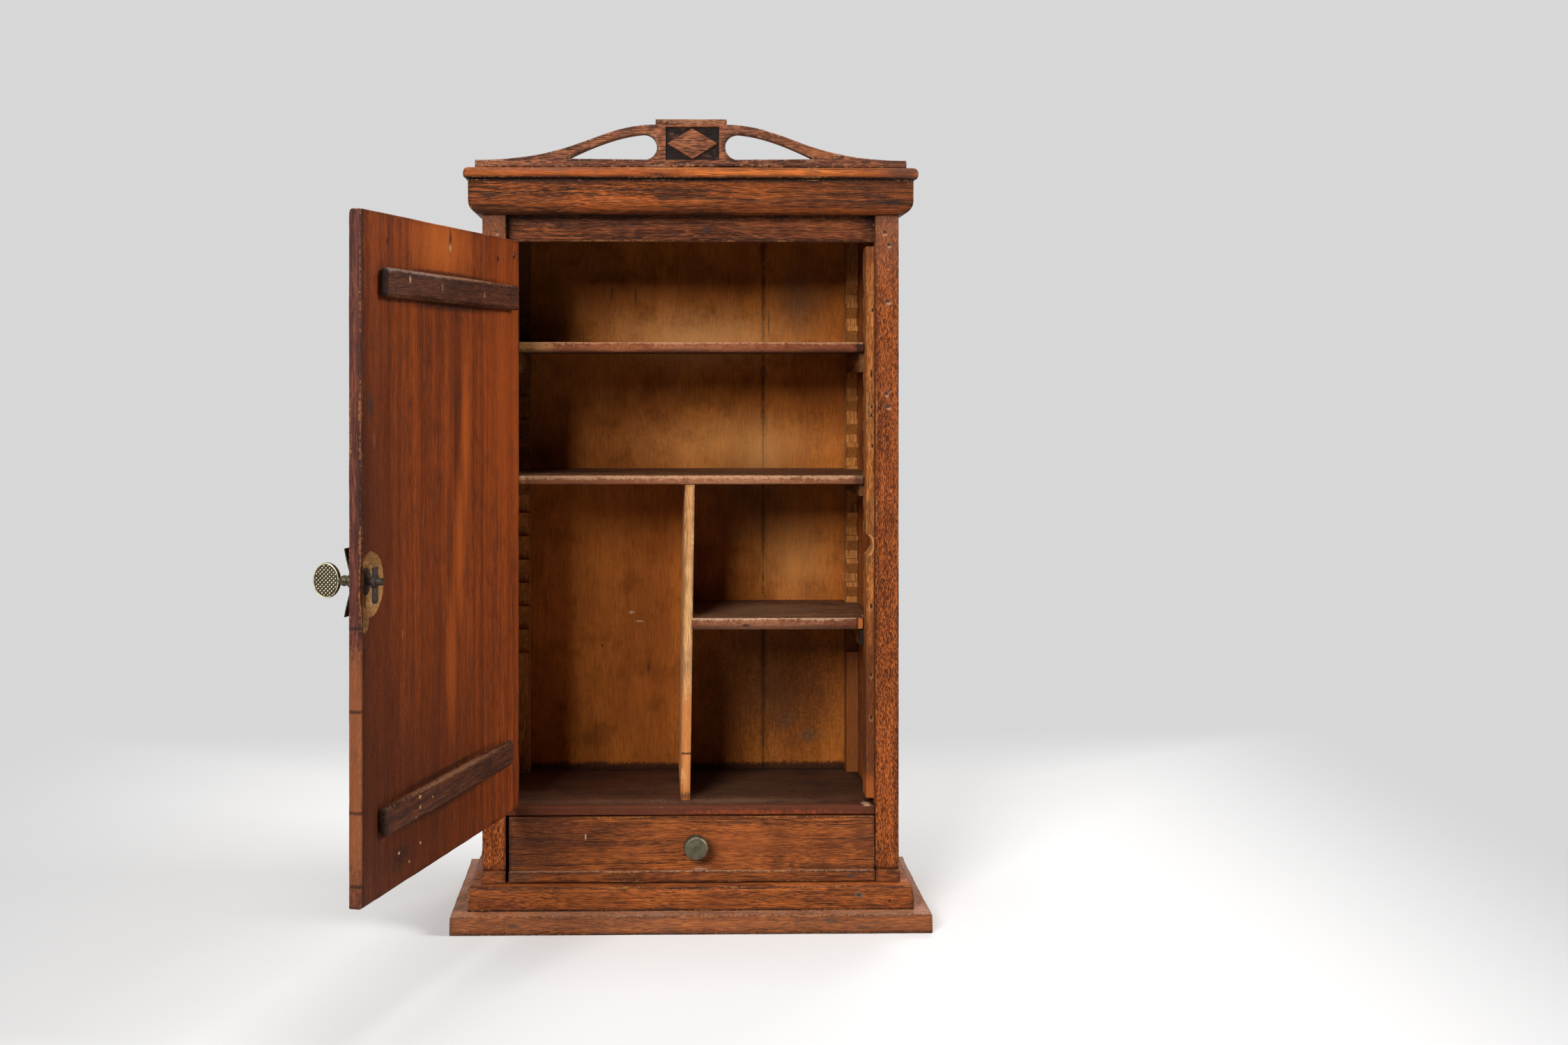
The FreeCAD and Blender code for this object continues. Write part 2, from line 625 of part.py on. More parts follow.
def all_screws(x, depth):
    """The screws of both hinges through one kind of leaf."""
    return sum(both_hinges(leaf_screws, x, depth), [])


def hinged_stile():
    """Left stile with mortises and screw holes for the hinge leaves."""
    shape = stile(SIDES["left"])
    for centre in HINGE_CENTRE_Z:
        shape = shape.cut(board(FRAME_LEAF_X, (0, STILE_THICKNESS), hinge_z(centre)))
    for screw in all_screws(FRAME_LEAF_X, STILE_THICKNESS):
        shape = shape.cut(screw)
    return shape


def latch_hollow():
    """Hollow carved in the inside of the door round the latch: sloping walls, open at the free edge."""
    x = DOOR_RIGHT_X - HOLLOW_CENTRE_IN
    floor = oval(Vector(x, at_depth(DOOR_THICKNESS - HOLLOW_DEPTH), HOLLOW_CENTRE_Z), *HOLLOW_FLOOR)
    mouth = oval(Vector(x, at_depth(DOOR_THICKNESS), HOLLOW_CENTRE_Z), *HOLLOW_MOUTH)
    return Part.makeLoft([floor, mouth], True, True)


def spindle_hole(clearance):
    start = Vector(LATCH_X, FRONT_Y, LATCH_Z)
    return rod(start, Vector(0, 1, 0), SPINDLE_RADIUS + clearance, DOOR_THICKNESS)


def batten_nails():
    """Nails through each batten into the door, heads flush with the batten."""
    head = at_depth(DOOR_THICKNESS + BATTEN_THICKNESS)
    nails = []
    for left, bottom in ((BATTEN_LOWER_LEFT_X, BATTEN_LOWER_BOTTOM_Z),
                         (BATTEN_UPPER_LEFT_X, BATTEN_UPPER_BOTTOM_Z)):
        middle = 0.5 * (left + BATTEN_RIGHT_X)
        for step in (-1.5, -0.5, 0.5, 1.5):
            start = Vector(middle + step * BATTEN_NAIL_SPACING, head, bottom + 0.5 * BATTEN_HEIGHT)
            nails.append(rod(start, Vector(0, -1, 0), NAIL_RADIUS, BATTEN_NAIL_LENGTH))
    return nails


def door_board():
    """Plank door without its edge strip, recessed for the hinge leaves and the latch."""
    shape = board((DOOR_LEFT_X, DOOR_RIGHT_X - EDGE_STRIP_WIDTH), (0, DOOR_THICKNESS),
                  (DOOR_BOTTOM_Z, DOOR_TOP_Z))
    middle = 0.5 * (DOOR_BOTTOM_Z + DOOR_TOP_Z)
    shape = soften(shape, DOOR_EDGE_ROUND, lambda p: near(p.x, DOOR_LEFT_X) and near(p.z, middle))
    shape = shape.cut(latch_hollow()).cut(spindle_hole(SPINDLE_CLEARANCE))
    for centre in HINGE_CENTRE_Z:
        shape = shape.cut(board(DOOR_LEAF_X, (0, DOOR_THICKNESS), hinge_z(centre)))
    for screw in all_screws(DOOR_LEAF_X, DOOR_THICKNESS):
        shape = shape.cut(screw)
    for nail in batten_nails():
        shape = shape.cut(nail)
    return shape


def door_edge_strip():
    """Strip glued along the free edge of the door, its long edges worn round."""
    shape = board((DOOR_RIGHT_X - EDGE_STRIP_WIDTH, DOOR_RIGHT_X), (0, DOOR_THICKNESS),
                  (DOOR_BOTTOM_Z, DOOR_TOP_Z))
    middle = 0.5 * (DOOR_BOTTOM_Z + DOOR_TOP_Z)
    shape = soften(shape, DOOR_EDGE_ROUND, lambda p: near(p.x, DOOR_RIGHT_X) and near(p.z, middle))
    return shape.cut(latch_hollow())


def door_batten(left, bottom):
    """Batten across the inside of the door, its visible edges chamfered."""
    face = at_depth(DOOR_THICKNESS + BATTEN_THICKNESS)
    shape = board((left, BATTEN_RIGHT_X), (DOOR_THICKNESS, DOOR_THICKNESS + BATTEN_THICKNESS),
                  (bottom, bottom + BATTEN_HEIGHT))
    face_edges = [edge for edge in shape.Edges if near(edge.CenterOfMass.y, face)]
    shape = shape.makeChamfer(BATTEN_CHAMFER, face_edges)
    for nail in batten_nails():
        shape = shape.cut(nail)
    return shape


def escutcheon():
    """Thin brass plate under the thumb turn, square-ended, its two ends sprung away from the door."""
    x0 = LATCH_X - ESCUTCHEON_HALF_WIDTH
    section = []
    for out in (0, ESCUTCHEON_THICKNESS):
        side = [(-ESCUTCHEON_HALF_HEIGHT, ESCUTCHEON_FLARE), (-ESCUTCHEON_FLAT, 0), (ESCUTCHEON_FLAT, 0),
                (ESCUTCHEON_HALF_HEIGHT, ESCUTCHEON_FLARE)]
        points = [Vector(x0, FRONT_Y - flare - out, LATCH_Z + z) for z, flare in side]
        section += points if out == 0 else points[::-1]
    strip = prism(section, Vector(2 * ESCUTCHEON_HALF_WIDTH, 0, 0))
    reach = ESCUTCHEON_FLARE + ESCUTCHEON_THICKNESS
    start = Vector(LATCH_X, FRONT_Y - reach, LATCH_Z)
    hole = rod(start, Vector(0, 1, 0), NECK_RADIUS + ESCUTCHEON_HOLE_CLEARANCE, reach)
    return strip.cut(hole)


def latch_plate():
    """Oval iron plate on the floor of the carved hollow, round the spindle."""
    y = at_depth(DOOR_THICKNESS - HOLLOW_DEPTH)
    plate = oval_plate(Vector(LATCH_X, y, LATCH_Z), *LATCH_PLATE_RADII, LATCH_PLATE_THICKNESS)
    hole = rod(Vector(LATCH_X, y, LATCH_Z), Vector(0, 1, 0), SPINDLE_RADIUS + SPINDLE_CLEARANCE,
               LATCH_PLATE_THICKNESS)
    return plate.cut(hole)


def thumb_turn():
    """Oval finger plate standing edge-on to the door, on a short round neck bored for the spindle."""
    flat = Part.Ellipse(Vector(0, 0, 0), TURN_HALF_HEIGHT, TURN_HALF_LENGTH).toShape()
    disc = Part.Face(Part.Wire([flat])).extrude(Vector(0, 0, TURN_THICKNESS))
    disc = disc.makeFillet(TURN_ROUND, [edge for edge in disc.Edges if len(edge.Vertexes) == 1])
    disc.rotate(Vector(0, 0, 0), Vector(0, 1, 0), -90)
    centre_out = TURN_START + TURN_HALF_LENGTH
    disc.translate(Vector(LATCH_X + 0.5 * TURN_THICKNESS, FRONT_Y - centre_out, LATCH_Z))
    foot = Vector(LATCH_X, FRONT_Y - NECK_GAP, LATCH_Z)
    outwards = Vector(0, -1, 0)
    length = TURN_START + TURN_ROUND - NECK_GAP
    neck = Part.makeCone(NECK_RADIUS, 0.5 * TURN_THICKNESS, length, foot, outwards)
    bore = rod(foot, outwards, SPINDLE_RADIUS, SPINDLE_IN_NECK)
    return disc.fuse(neck).cut(bore).removeSplitter()


def latch_spindle():
    start = Vector(LATCH_X, FRONT_Y - NECK_GAP - SPINDLE_IN_NECK, LATCH_Z)
    return rod(start, Vector(0, 1, 0), SPINDLE_RADIUS, SPINDLE_IN_NECK + NECK_GAP + SPINDLE_END_DEPTH)


def latch_lever():
    """Iron tongue on the spindle: a round boss, a blunt finger hanging down and a short square tail above."""
    y = at_depth(LEVER_DEPTHS[0])
    thickness = LEVER_DEPTHS[1] - LEVER_DEPTHS[0]
    back = Vector(0, 1, 0)
    centre = Vector(LATCH_X, y, LATCH_Z)
    boss = rod(centre, back, LEVER_BOSS_RADIUS, thickness)
    tip_z = LATCH_Z - LEVER_REACH + LEVER_HALF_WIDTH
    finger = block((LATCH_X - LEVER_HALF_WIDTH, LATCH_X + LEVER_HALF_WIDTH), (y, y + thickness),
                   (tip_z, LATCH_Z + LEVER_TAIL))
    tip = rod(Vector(LATCH_X, y, tip_z), back, LEVER_HALF_WIDTH, thickness)
    lever = boss.fuse(finger).fuse(tip).removeSplitter()
    return lever.cut(rod(centre, back, SPINDLE_RADIUS, thickness))


def knob_axis(depth):
    return Vector(KNOB_X, at_depth(depth), KNOB_Z)


def drawer_front():
    """Drawer front, bored for the knob's stud, its upper front edge softened."""
    shape = board(DRAWER_X, DRAWER_FRONT_DEPTHS, (DRAWER_BOTTOM_Z, DRAWER_TOP_Z))
    front = at_depth(DRAWER_FRONT_DEPTHS[0])
    shape = soften(shape, DRAWER_EDGE_ROUND, lambda p: near(p.y, front) and not near(p.z, DRAWER_BOTTOM_Z))
    length = DRAWER_FRONT_DEPTHS[1] - DRAWER_FRONT_DEPTHS[0]
    return shape.cut(rod(knob_axis(DRAWER_FRONT_DEPTHS[0]), Vector(0, 1, 0), STUD_RADIUS, length))


def drawer_lip():
    """Rounded bead along the foot of the drawer front, in line with the beads under the stiles."""
    shape = board(DRAWER_X, (-LIP_PROJECTION, DRAWER_FRONT_DEPTHS[0]), (DRAWER_BOTTOM_Z, LIP_TOP_Z))
    front = at_depth(-LIP_PROJECTION)
    return soften(shape, LIP_ROUND, lambda p: near(p.y, front) and near(p.z, LIP_TOP_Z))


def drawer_side(side):
    outer = DRAWER_X[0] if side < 0 else DRAWER_X[1]
    return board((outer, outer - side * DRAWER_WALL), (DRAWER_FRONT_DEPTHS[1], DRAWER_BACK_DEPTH),
                 (DRAWER_BOTTOM_Z, DRAWER_SIDE_TOP_Z))


def drawer_inner_x():
    return (DRAWER_X[0] + DRAWER_WALL, DRAWER_X[1] - DRAWER_WALL)


def drawer_back():
    return board(drawer_inner_x(), (DRAWER_BACK_DEPTH - DRAWER_WALL, DRAWER_BACK_DEPTH),
                 (DRAWER_BOTTOM_Z, DRAWER_BACK_TOP_Z))


def drawer_bottom():
    depths = (DRAWER_FRONT_DEPTHS[1], DRAWER_BACK_DEPTH - DRAWER_WALL)
    return board(drawer_inner_x(), depths, DRAWER_BOARD_Z)


def drawer_knob():
    """Turned brass knob: a small rose, a waisted neck and a rounded head with a slightly flat face.
    Each point of its profile is a radius and a distance out from the drawer front."""
    point = lambda place: Vector(place[0], 0, place[1])
    rose_edge = (KNOB_ROSE[0], 0)
    axis_foot = (0, 0)
    axis_face = (0, KNOB_FACE[1])
    profile = Part.Wire([line(point(axis_foot), point(rose_edge)),
                         line(point(rose_edge), point(KNOB_ROSE)),
                         Part.Arc(point(KNOB_ROSE), point(KNOB_WAIST), point(KNOB_COLLAR)).toShape(),
                         Part.Arc(point(KNOB_COLLAR), point(KNOB_SHOULDER), point(KNOB_WIDEST)).toShape(),
                         Part.Arc(point(KNOB_WIDEST), point(KNOB_CROWN), point(KNOB_FACE)).toShape(),
                         line(point(KNOB_FACE), point(axis_face)),
                         line(point(axis_face), point(axis_foot))])
    knob = Part.Face(profile).revolve(Vector(0, 0, 0), Vector(0, 0, 1), 360)
    knob = knob.cut(rod(Vector(0, 0, 0), Vector(0, 0, 1), STUD_RADIUS, STUD_INTO_KNOB))
    knob.rotate(Vector(0, 0, 0), Vector(1, 0, 0), 90)
    knob.translate(knob_axis(DRAWER_FRONT_DEPTHS[0]))
    return knob


def knob_stud():
    length = STUD_INTO_KNOB + DRAWER_FRONT_DEPTHS[1] - DRAWER_FRONT_DEPTHS[0] + NUT_THICKNESS
    return rod(knob_axis(DRAWER_FRONT_DEPTHS[0] - STUD_INTO_KNOB), Vector(0, 1, 0), STUD_RADIUS, length)


def knob_nut():
    """Square nut on the stud, tight against the inside of the drawer front."""
    depth = DRAWER_FRONT_DEPTHS[1]
    nut = board((KNOB_X - NUT_HALF_WIDTH, KNOB_X + NUT_HALF_WIDTH), (depth, depth + NUT_THICKNESS),
                (KNOB_Z - NUT_HALF_WIDTH, KNOB_Z + NUT_HALF_WIDTH))
    return nut.cut(rod(knob_axis(depth), Vector(0, 1, 0), STUD_RADIUS, NUT_THICKNESS))


def carcass_pieces():
    """Everything fixed to the carcass, by name."""
    pieces = {
        "plinth_lower": plinth_step(PLINTH_LOWER_OVERHANG, 0, PLINTH_LOWER_HEIGHT, PLINTH_LOWER_ROUND),
        "plinth_upper": plinth_step(PLINTH_UPPER_OVERHANG, PLINTH_LOWER_HEIGHT, PLINTH_UPPER_HEIGHT,
                                    PLINTH_UPPER_ROUND),
        "stile_left": hinged_stile(),
        "stile_right": stile(SIDES["right"]),
        "floor_board": floor_board(),
        "top_rail": top_rail(),
        "cornice_front": cornice_front(),
        "top_board": top_board(),
        "crest": crest(),
        "back_board_left": back_board((-CARCASS_HALF_WIDTH, BACK_JOINT_X)),
        "back_board_right": back_board((BACK_JOINT_X, CARCASS_HALF_WIDTH)),
        "divider": divider(),
        "shelf_upper": wide_shelf(SHELF_UPPER_TOP_Z, SHELF_UPPER_THICKNESS),
        "shelf_lower": wide_shelf(SHELF_LOWER_TOP_Z, SHELF_LOWER_THICKNESS),
        "shelf_small": small_shelf(),
    }
    under_upper = SHELF_UPPER_TOP_Z - SHELF_UPPER_THICKNESS
    under_lower = SHELF_LOWER_TOP_Z - SHELF_LOWER_THICKNESS
    under_small = SHELF_SMALL_TOP_Z - SHELF_SMALL_THICKNESS
    pieces["bearer_small_right"] = bearer(SIDES["right"], SHELF_SMALL_NOTCH, under_small)
    for name, side in SIDES.items():
        pieces["side_" + name] = side_board(side)
        pieces["foot_bead_" + name] = foot_bead(side)
        pieces["cornice_" + name] = cornice_return(side)
        pieces["rack_front_" + name] = rack_front(side)
        pieces["rack_back_" + name] = rack_back(side)
        pieces["bearer_upper_" + name] = bearer(side, SHELF_UPPER_NOTCH, under_upper)
        pieces["bearer_lower_" + name] = bearer(side, SHELF_LOWER_NOTCH, under_lower)
        pieces["stile_nails_" + name] = Part.makeCompound(stile_nails(side))
    lower, upper = both_hinges(hinge_leaf, FRAME_LEAF_X, STILE_THICKNESS, 0, HINGE_PIN_RADIUS)
    pieces["hinge_lower_frame_leaf"] = lower
    pieces["hinge_upper_frame_leaf"] = upper
    pieces["hinge_pins"] = Part.makeCompound(both_hinges(hinge_pin))
    pieces["hinge_frame_screws"] = Part.makeCompound(all_screws(FRAME_LEAF_X, STILE_THICKNESS))
    return pieces


def door_pieces():
    """Everything that swings with the door, drawn with the door shut."""
    pieces = {
        "door_board": door_board(),
        "door_edge_strip": door_edge_strip(),
        "door_batten_lower": door_batten(BATTEN_LOWER_LEFT_X, BATTEN_LOWER_BOTTOM_Z),
        "door_batten_upper": door_batten(BATTEN_UPPER_LEFT_X, BATTEN_UPPER_BOTTOM_Z),
        "batten_nails": Part.makeCompound(batten_nails()),
        "escutcheon": escutcheon(),
        "latch_plate": latch_plate(),
        "thumb_turn": thumb_turn(),
        "latch_spindle": latch_spindle(),
        "latch_lever": latch_lever(),
    }
    bore = HINGE_PIN_RADIUS + HINGE_PIN_CLEARANCE
    lower, upper = both_hinges(hinge_leaf, DOOR_LEAF_X, DOOR_THICKNESS, 1, bore)
    pieces["hinge_lower_door_leaf"] = lower
    pieces["hinge_upper_door_leaf"] = upper
    pieces["hinge_door_screws"] = Part.makeCompound(all_screws(DOOR_LEAF_X, DOOR_THICKNESS))
    return pieces


def drawer_pieces():
    return {
        "drawer_front": drawer_front(),
        "drawer_lip": drawer_lip(),
        "drawer_side_left": drawer_side(SIDES["left"]),
        "drawer_side_right": drawer_side(SIDES["right"]),
        "drawer_back": drawer_back(),
        "drawer_bottom": drawer_bottom(),
        "drawer_knob": drawer_knob(),
        "knob_stud": knob_stud(),
        "knob_nut": knob_nut(),
    }


def swung_open(shape):
    """The same piece with the door standing open at its rest angle."""
    turned = shape.copy()
    turned.rotate(Vector(HINGE_X, HINGE_Y, 0), Vector(0, 0, 1), -DOOR_REST_ANGLE)
    return turned


os.makedirs("parts", exist_ok=True)
model = carcass_pieces()
model.update({name: swung_open(shape) for name, shape in door_pieces().items()})
model.update(drawer_pieces())
for node, shape in model.items():
    if not shape.isValid():
        print("not valid:", node)
    shape.exportStep("parts/" + node + ".step")
print(len(model), "nodes")
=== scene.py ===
import math

import bpy
import numpy as np
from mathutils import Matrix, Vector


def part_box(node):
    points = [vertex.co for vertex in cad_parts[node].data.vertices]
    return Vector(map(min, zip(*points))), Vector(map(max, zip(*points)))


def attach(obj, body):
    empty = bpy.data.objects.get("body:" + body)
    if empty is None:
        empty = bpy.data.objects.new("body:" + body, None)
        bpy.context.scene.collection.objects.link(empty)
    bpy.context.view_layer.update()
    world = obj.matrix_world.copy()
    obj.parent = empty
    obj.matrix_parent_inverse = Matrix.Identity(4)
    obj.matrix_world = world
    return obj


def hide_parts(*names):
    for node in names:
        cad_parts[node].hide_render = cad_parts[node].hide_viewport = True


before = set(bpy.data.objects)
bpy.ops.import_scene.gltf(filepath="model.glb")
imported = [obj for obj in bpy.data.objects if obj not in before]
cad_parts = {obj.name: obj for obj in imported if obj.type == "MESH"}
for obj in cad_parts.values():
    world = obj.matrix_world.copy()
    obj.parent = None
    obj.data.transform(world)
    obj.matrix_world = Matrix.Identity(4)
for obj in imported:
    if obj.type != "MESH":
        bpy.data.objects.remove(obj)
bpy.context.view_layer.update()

# Plinth: two oak boards stacked in steps, planed by hand and nailed, stained dark and waxed.
# The lower step is nearly square, the upper one rounded over along its top; dirt and dust lie
# between the steps, and the arrises are rubbed pale.


def fade(x, start, end):
    """Smooth step: 0 at start, 1 at end, with level ends."""
    t = np.clip((x - start) / (end - start), 0, 1)
    return t * t * (3 - 2 * t)


def smooth_noise(points, pitch, seed):
    """Value noise from -1 to 1: hashed numbers on a lattice of that pitch, joined by smooth steps."""
    place = points / pitch
    cell = np.floor(place).astype(np.int64)
    part = place - cell
    part = part * part * (3 - 2 * part)
    total = np.zeros(len(points))
    for corner in np.ndindex(2, 2, 2):
        key = (cell + corner) @ np.array([73856093, 19349663, 83492791]) + seed * 2654435761
        key = (key ^ (key >> 13)) * 1274126177 & 0xFFFFFFFF
        key = (key ^ (key >> 15)) * 668265263 & 0xFFFFFFFF
        share = np.prod(np.where(corner, part, 1 - part), axis=1)
        total += share * ((key ^ (key >> 16)) / 2.0**31 - 1)
    return total


def cuts(low, high, radius, cell, extra=()):
    """Where one side of a board is divided: close together over the rounded ends, then even cells."""
    ends = radius * np.array([0, .08, .22, .42, .68, 1, 1.5, 2.4])
    middle = np.linspace(low + 3.2 * radius, high - 3.2 * radius, max(2, int((high - low) / cell)))
    places = np.concatenate([low + ends, middle, high - ends, extra])
    return np.unique(places[(places >= low) & (places <= high)].round(3))


def grid_cells(wide, tall):
    """Quads of a grid of wide by tall points that are numbered row by row."""
    index = np.arange(wide * tall).reshape(wide, tall)
    return np.stack([index[:-1, :-1], index[1:, :-1], index[1:, 1:], index[:-1, 1:]], -1).reshape(-1, 4)


def box_grid(ticks):
    """Closed box of six sheets: each pair of tick lists spans a sheet at both ends of the third."""
    points, quads, count = [], [], 0
    for axis in range(3):
        u, v = (axis + 1) % 3, (axis + 2) % 3
        grid = np.meshgrid(ticks[u], ticks[v], indexing="ij")
        cells = grid_cells(len(ticks[u]), len(ticks[v]))
        for end, turn in ((0, -1), (-1, 1)):
            sheet = np.empty((grid[0].size, 3))
            sheet[:, axis], sheet[:, u], sheet[:, v] = ticks[axis][end], grid[0].ravel(), grid[1].ravel()
            points.append(sheet)
            quads.append(cells[:, ::turn] + count)
            count += len(sheet)
    points, which = np.unique(np.concatenate(points).round(4), axis=0, return_inverse=True)
    return points, which.ravel()[np.concatenate(quads)]


def worn_board(low, high, along, radius=.7, cell=4., seed=1, edge_radius=None, extra=((), (), ()),
               bend=None, dirt_and_shade=(), waver=.1, chamfer=False):
    """Hand-worked board between two corners. Each point of a box grid is held inside a core that is
    smaller by an uneven radius, then pushed out from the core by that radius, so the arrises are worn
    unevenly round, or cut flat where chamfer measures the push by the sum of its parts; the faces waver
    a little, inwards. bend moves the points afterwards. Gives the mesh and, per point, the place in the
    plank (along the grain first), the distance from the nearest arris in millimetres, and a darkening for
    dirty places and painted shade, strongest on given planes (axis, place, reach, strength)."""
    low, high = np.array(low, float), np.array(high, float)
    least = .49 * (high - low).min()
    ticks = [cuts(low[a], high[a], min(radius, least), cell, extra[a]) for a in range(3)]
    q, quads = box_grid(ticks)
    r = np.full(len(q), radius) if edge_radius is None else edge_radius(q)
    r = r * (1 + .4 * smooth_noise(q, 19, seed) + .3 * smooth_noise(q, 6, seed + 1))
    r = np.clip(r, .12, least)[:, None]
    core = np.clip(q, low + r, high - r)
    away = q - core
    away /= np.maximum(np.linalg.norm(away, ord=1 if chamfer else 2, axis=1, keepdims=True), 1e-9)
    p = core + away * (r + waver * (smooth_noise(q, 27, seed + 2)[:, None] - 1))
    edge = np.sort(np.minimum(q - low, high - q), axis=1)[:, 1]
    grime = sum((s * np.exp(-np.abs(q[:, a] - at) / reach) for a, at, reach, s in dirt_and_shade), np.zeros(len(q)))
    others = sorted((a for a in range(3) if a != along), key=lambda a: low[a] - high[a])
    values = {"edge": edge, "grime": np.minimum(grime, 1)}
    if bend is not None:
        p, more = bend(p, q)
        values.update(more)
    values["plank"] = p[:, [along] + others] / 1000
    values["drawn"] = p / 1000
    return {"points": p, "faces": [quads], "values": values}


def put_in(name, form, material, body, nodes):
    """Make a mesh of a form, in millimetres, turned so that it encloses a positive volume, and hang it
    on its body in place of its CAD nodes."""
    points = np.asarray(form["points"], float)
    faces = form["faces"]
    fans = np.concatenate([np.stack([f[:, 0], f[:, i], f[:, i + 1]], 1) for f in faces
                           for i in range(1, f.shape[1] - 1)])
    a, b, c = (points[fans[:, i]] for i in range(3))
    turn = 1 if np.einsum("ij,ij->", a, np.cross(b, c)) > 0 else -1
    mesh = bpy.data.meshes.new(name)
    mesh.vertices.add(len(points))
    mesh.vertices.foreach_set("co", (points / 1000).astype(np.float32).ravel())
    corners = np.concatenate([f[:, ::turn].ravel() for f in faces])
    sizes = np.concatenate([np.full(len(f), f.shape[1]) for f in faces])
    mesh.loops.add(len(corners))
    mesh.loops.foreach_set("vertex_index", corners.astype(np.int32))
    mesh.polygons.add(len(sizes))
    mesh.polygons.foreach_set("loop_start", (np.cumsum(sizes) - sizes).astype(np.int32))
    mesh.update(calc_edges=True)
    mesh.shade_smooth()
    mesh.set_sharp_from_angle(angle=math.radians(38))
    for key, value in form["values"].items():
        wide = np.ndim(value) == 2
        attribute = mesh.attributes.new(key, "FLOAT_VECTOR" if wide else "FLOAT", "POINT")
        attribute.data.foreach_set("vector" if wide else "value", np.asarray(value, np.float32).ravel())
    mesh.materials.append(material)
    piece = bpy.data.objects.new(name, mesh)
    bpy.context.scene.collection.objects.link(piece)
    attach(piece, body)
    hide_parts(*nodes)
    return piece


class Signal:
    """A socket in a material. Arithmetic on values adds Math nodes; make adds any other node."""

    def __init__(self, socket):
        self.socket = socket

    def make(self, kind, sockets, out=0, **settings):
        """New node of a kind: its settings first, then its sockets' values or links. Gives one output."""
        node = self.socket.id_data.nodes.new(kind)
        for key, value in settings.items():
            setattr(node, key, value)
        for key, value in sockets.items():
            if isinstance(value, Signal):
                self.socket.id_data.links.new(value.socket, node.inputs[key])
            else:
                node.inputs[key].default_value = value
        return Signal(node.outputs[out])

    def math(self, operation, a, b):
        """Math node on two values."""
        return self.make("ShaderNodeMath", {0: a, 1: b}, operation=operation)

    def __add__(self, other):
        return self.math("ADD", self, other)

    __radd__ = __add__

    def __sub__(self, other):
        return self.math("SUBTRACT", self, other)

    def __rsub__(self, other):
        return self.math("SUBTRACT", other, self)

    def __mul__(self, other):
        return self.math("MULTIPLY", self, other)

    __rmul__ = __mul__

    def most(self, other):
        """The greater of the two values."""
        return self.math("MAXIMUM", self, other)

    def between(self, low, high):
        """0 at low, 1 at high, smooth between."""
        return self.make("ShaderNodeMapRange", {"Value": self, "From Min": low, "From Max": high},
                         interpolation_type="SMOOTHSTEP")

    def blend(self, first, second):
        """First colour where this is 0, second where it is 1."""
        return self.make("ShaderNodeMix", {0: self, 6: first, 7: second}, out=2, data_type="RGBA")

    def vector(self, operation, other, out=0):
        """Vector Math node on this and another vector."""
        return self.make("ShaderNodeVectorMath", {0: self, 1: other}, out=out, operation=operation)

    def streaks(self, along, across, detail=3., roughness=.55):
        """Noise whose cells are along by across metres, along being the first coordinate."""
        place = self.vector("MULTIPLY", (1 / along, 1 / across, 1 / across))
        return self.make("ShaderNodeTexNoise", {"Vector": place, "Scale": 1., "Detail": detail,
                                                "Roughness": roughness})

    def spot(self, centre, radii):
        """Distance from a centre as a share of the radii, both in millimetres: 0 there, 1 at the radii."""
        apart = self.vector("SUBTRACT", tuple(c / 1000 for c in centre))
        scaled = apart.vector("MULTIPLY", tuple(1000 / r for r in radii))
        return scaled.vector("LENGTH", (0, 0, 0), out="Value")


def colour(red, green, blue):
    """Colour as it shows on a screen, 0 to 255, made linear."""
    parts = [c / 255 for c in (red, green, blue)]
    return tuple(c / 12.92 if c <= .04045 else ((c + .055) / 1.055) ** 2.4 for c in parts) + (1.,)


def new_finish(name):
    """New material, and the signal of its base colour, from which its nodes are made."""
    material = bpy.data.materials.new(name)
    material.use_nodes = True
    return material, Signal(material.node_tree.nodes["Principled BSDF"].inputs["Base Color"])


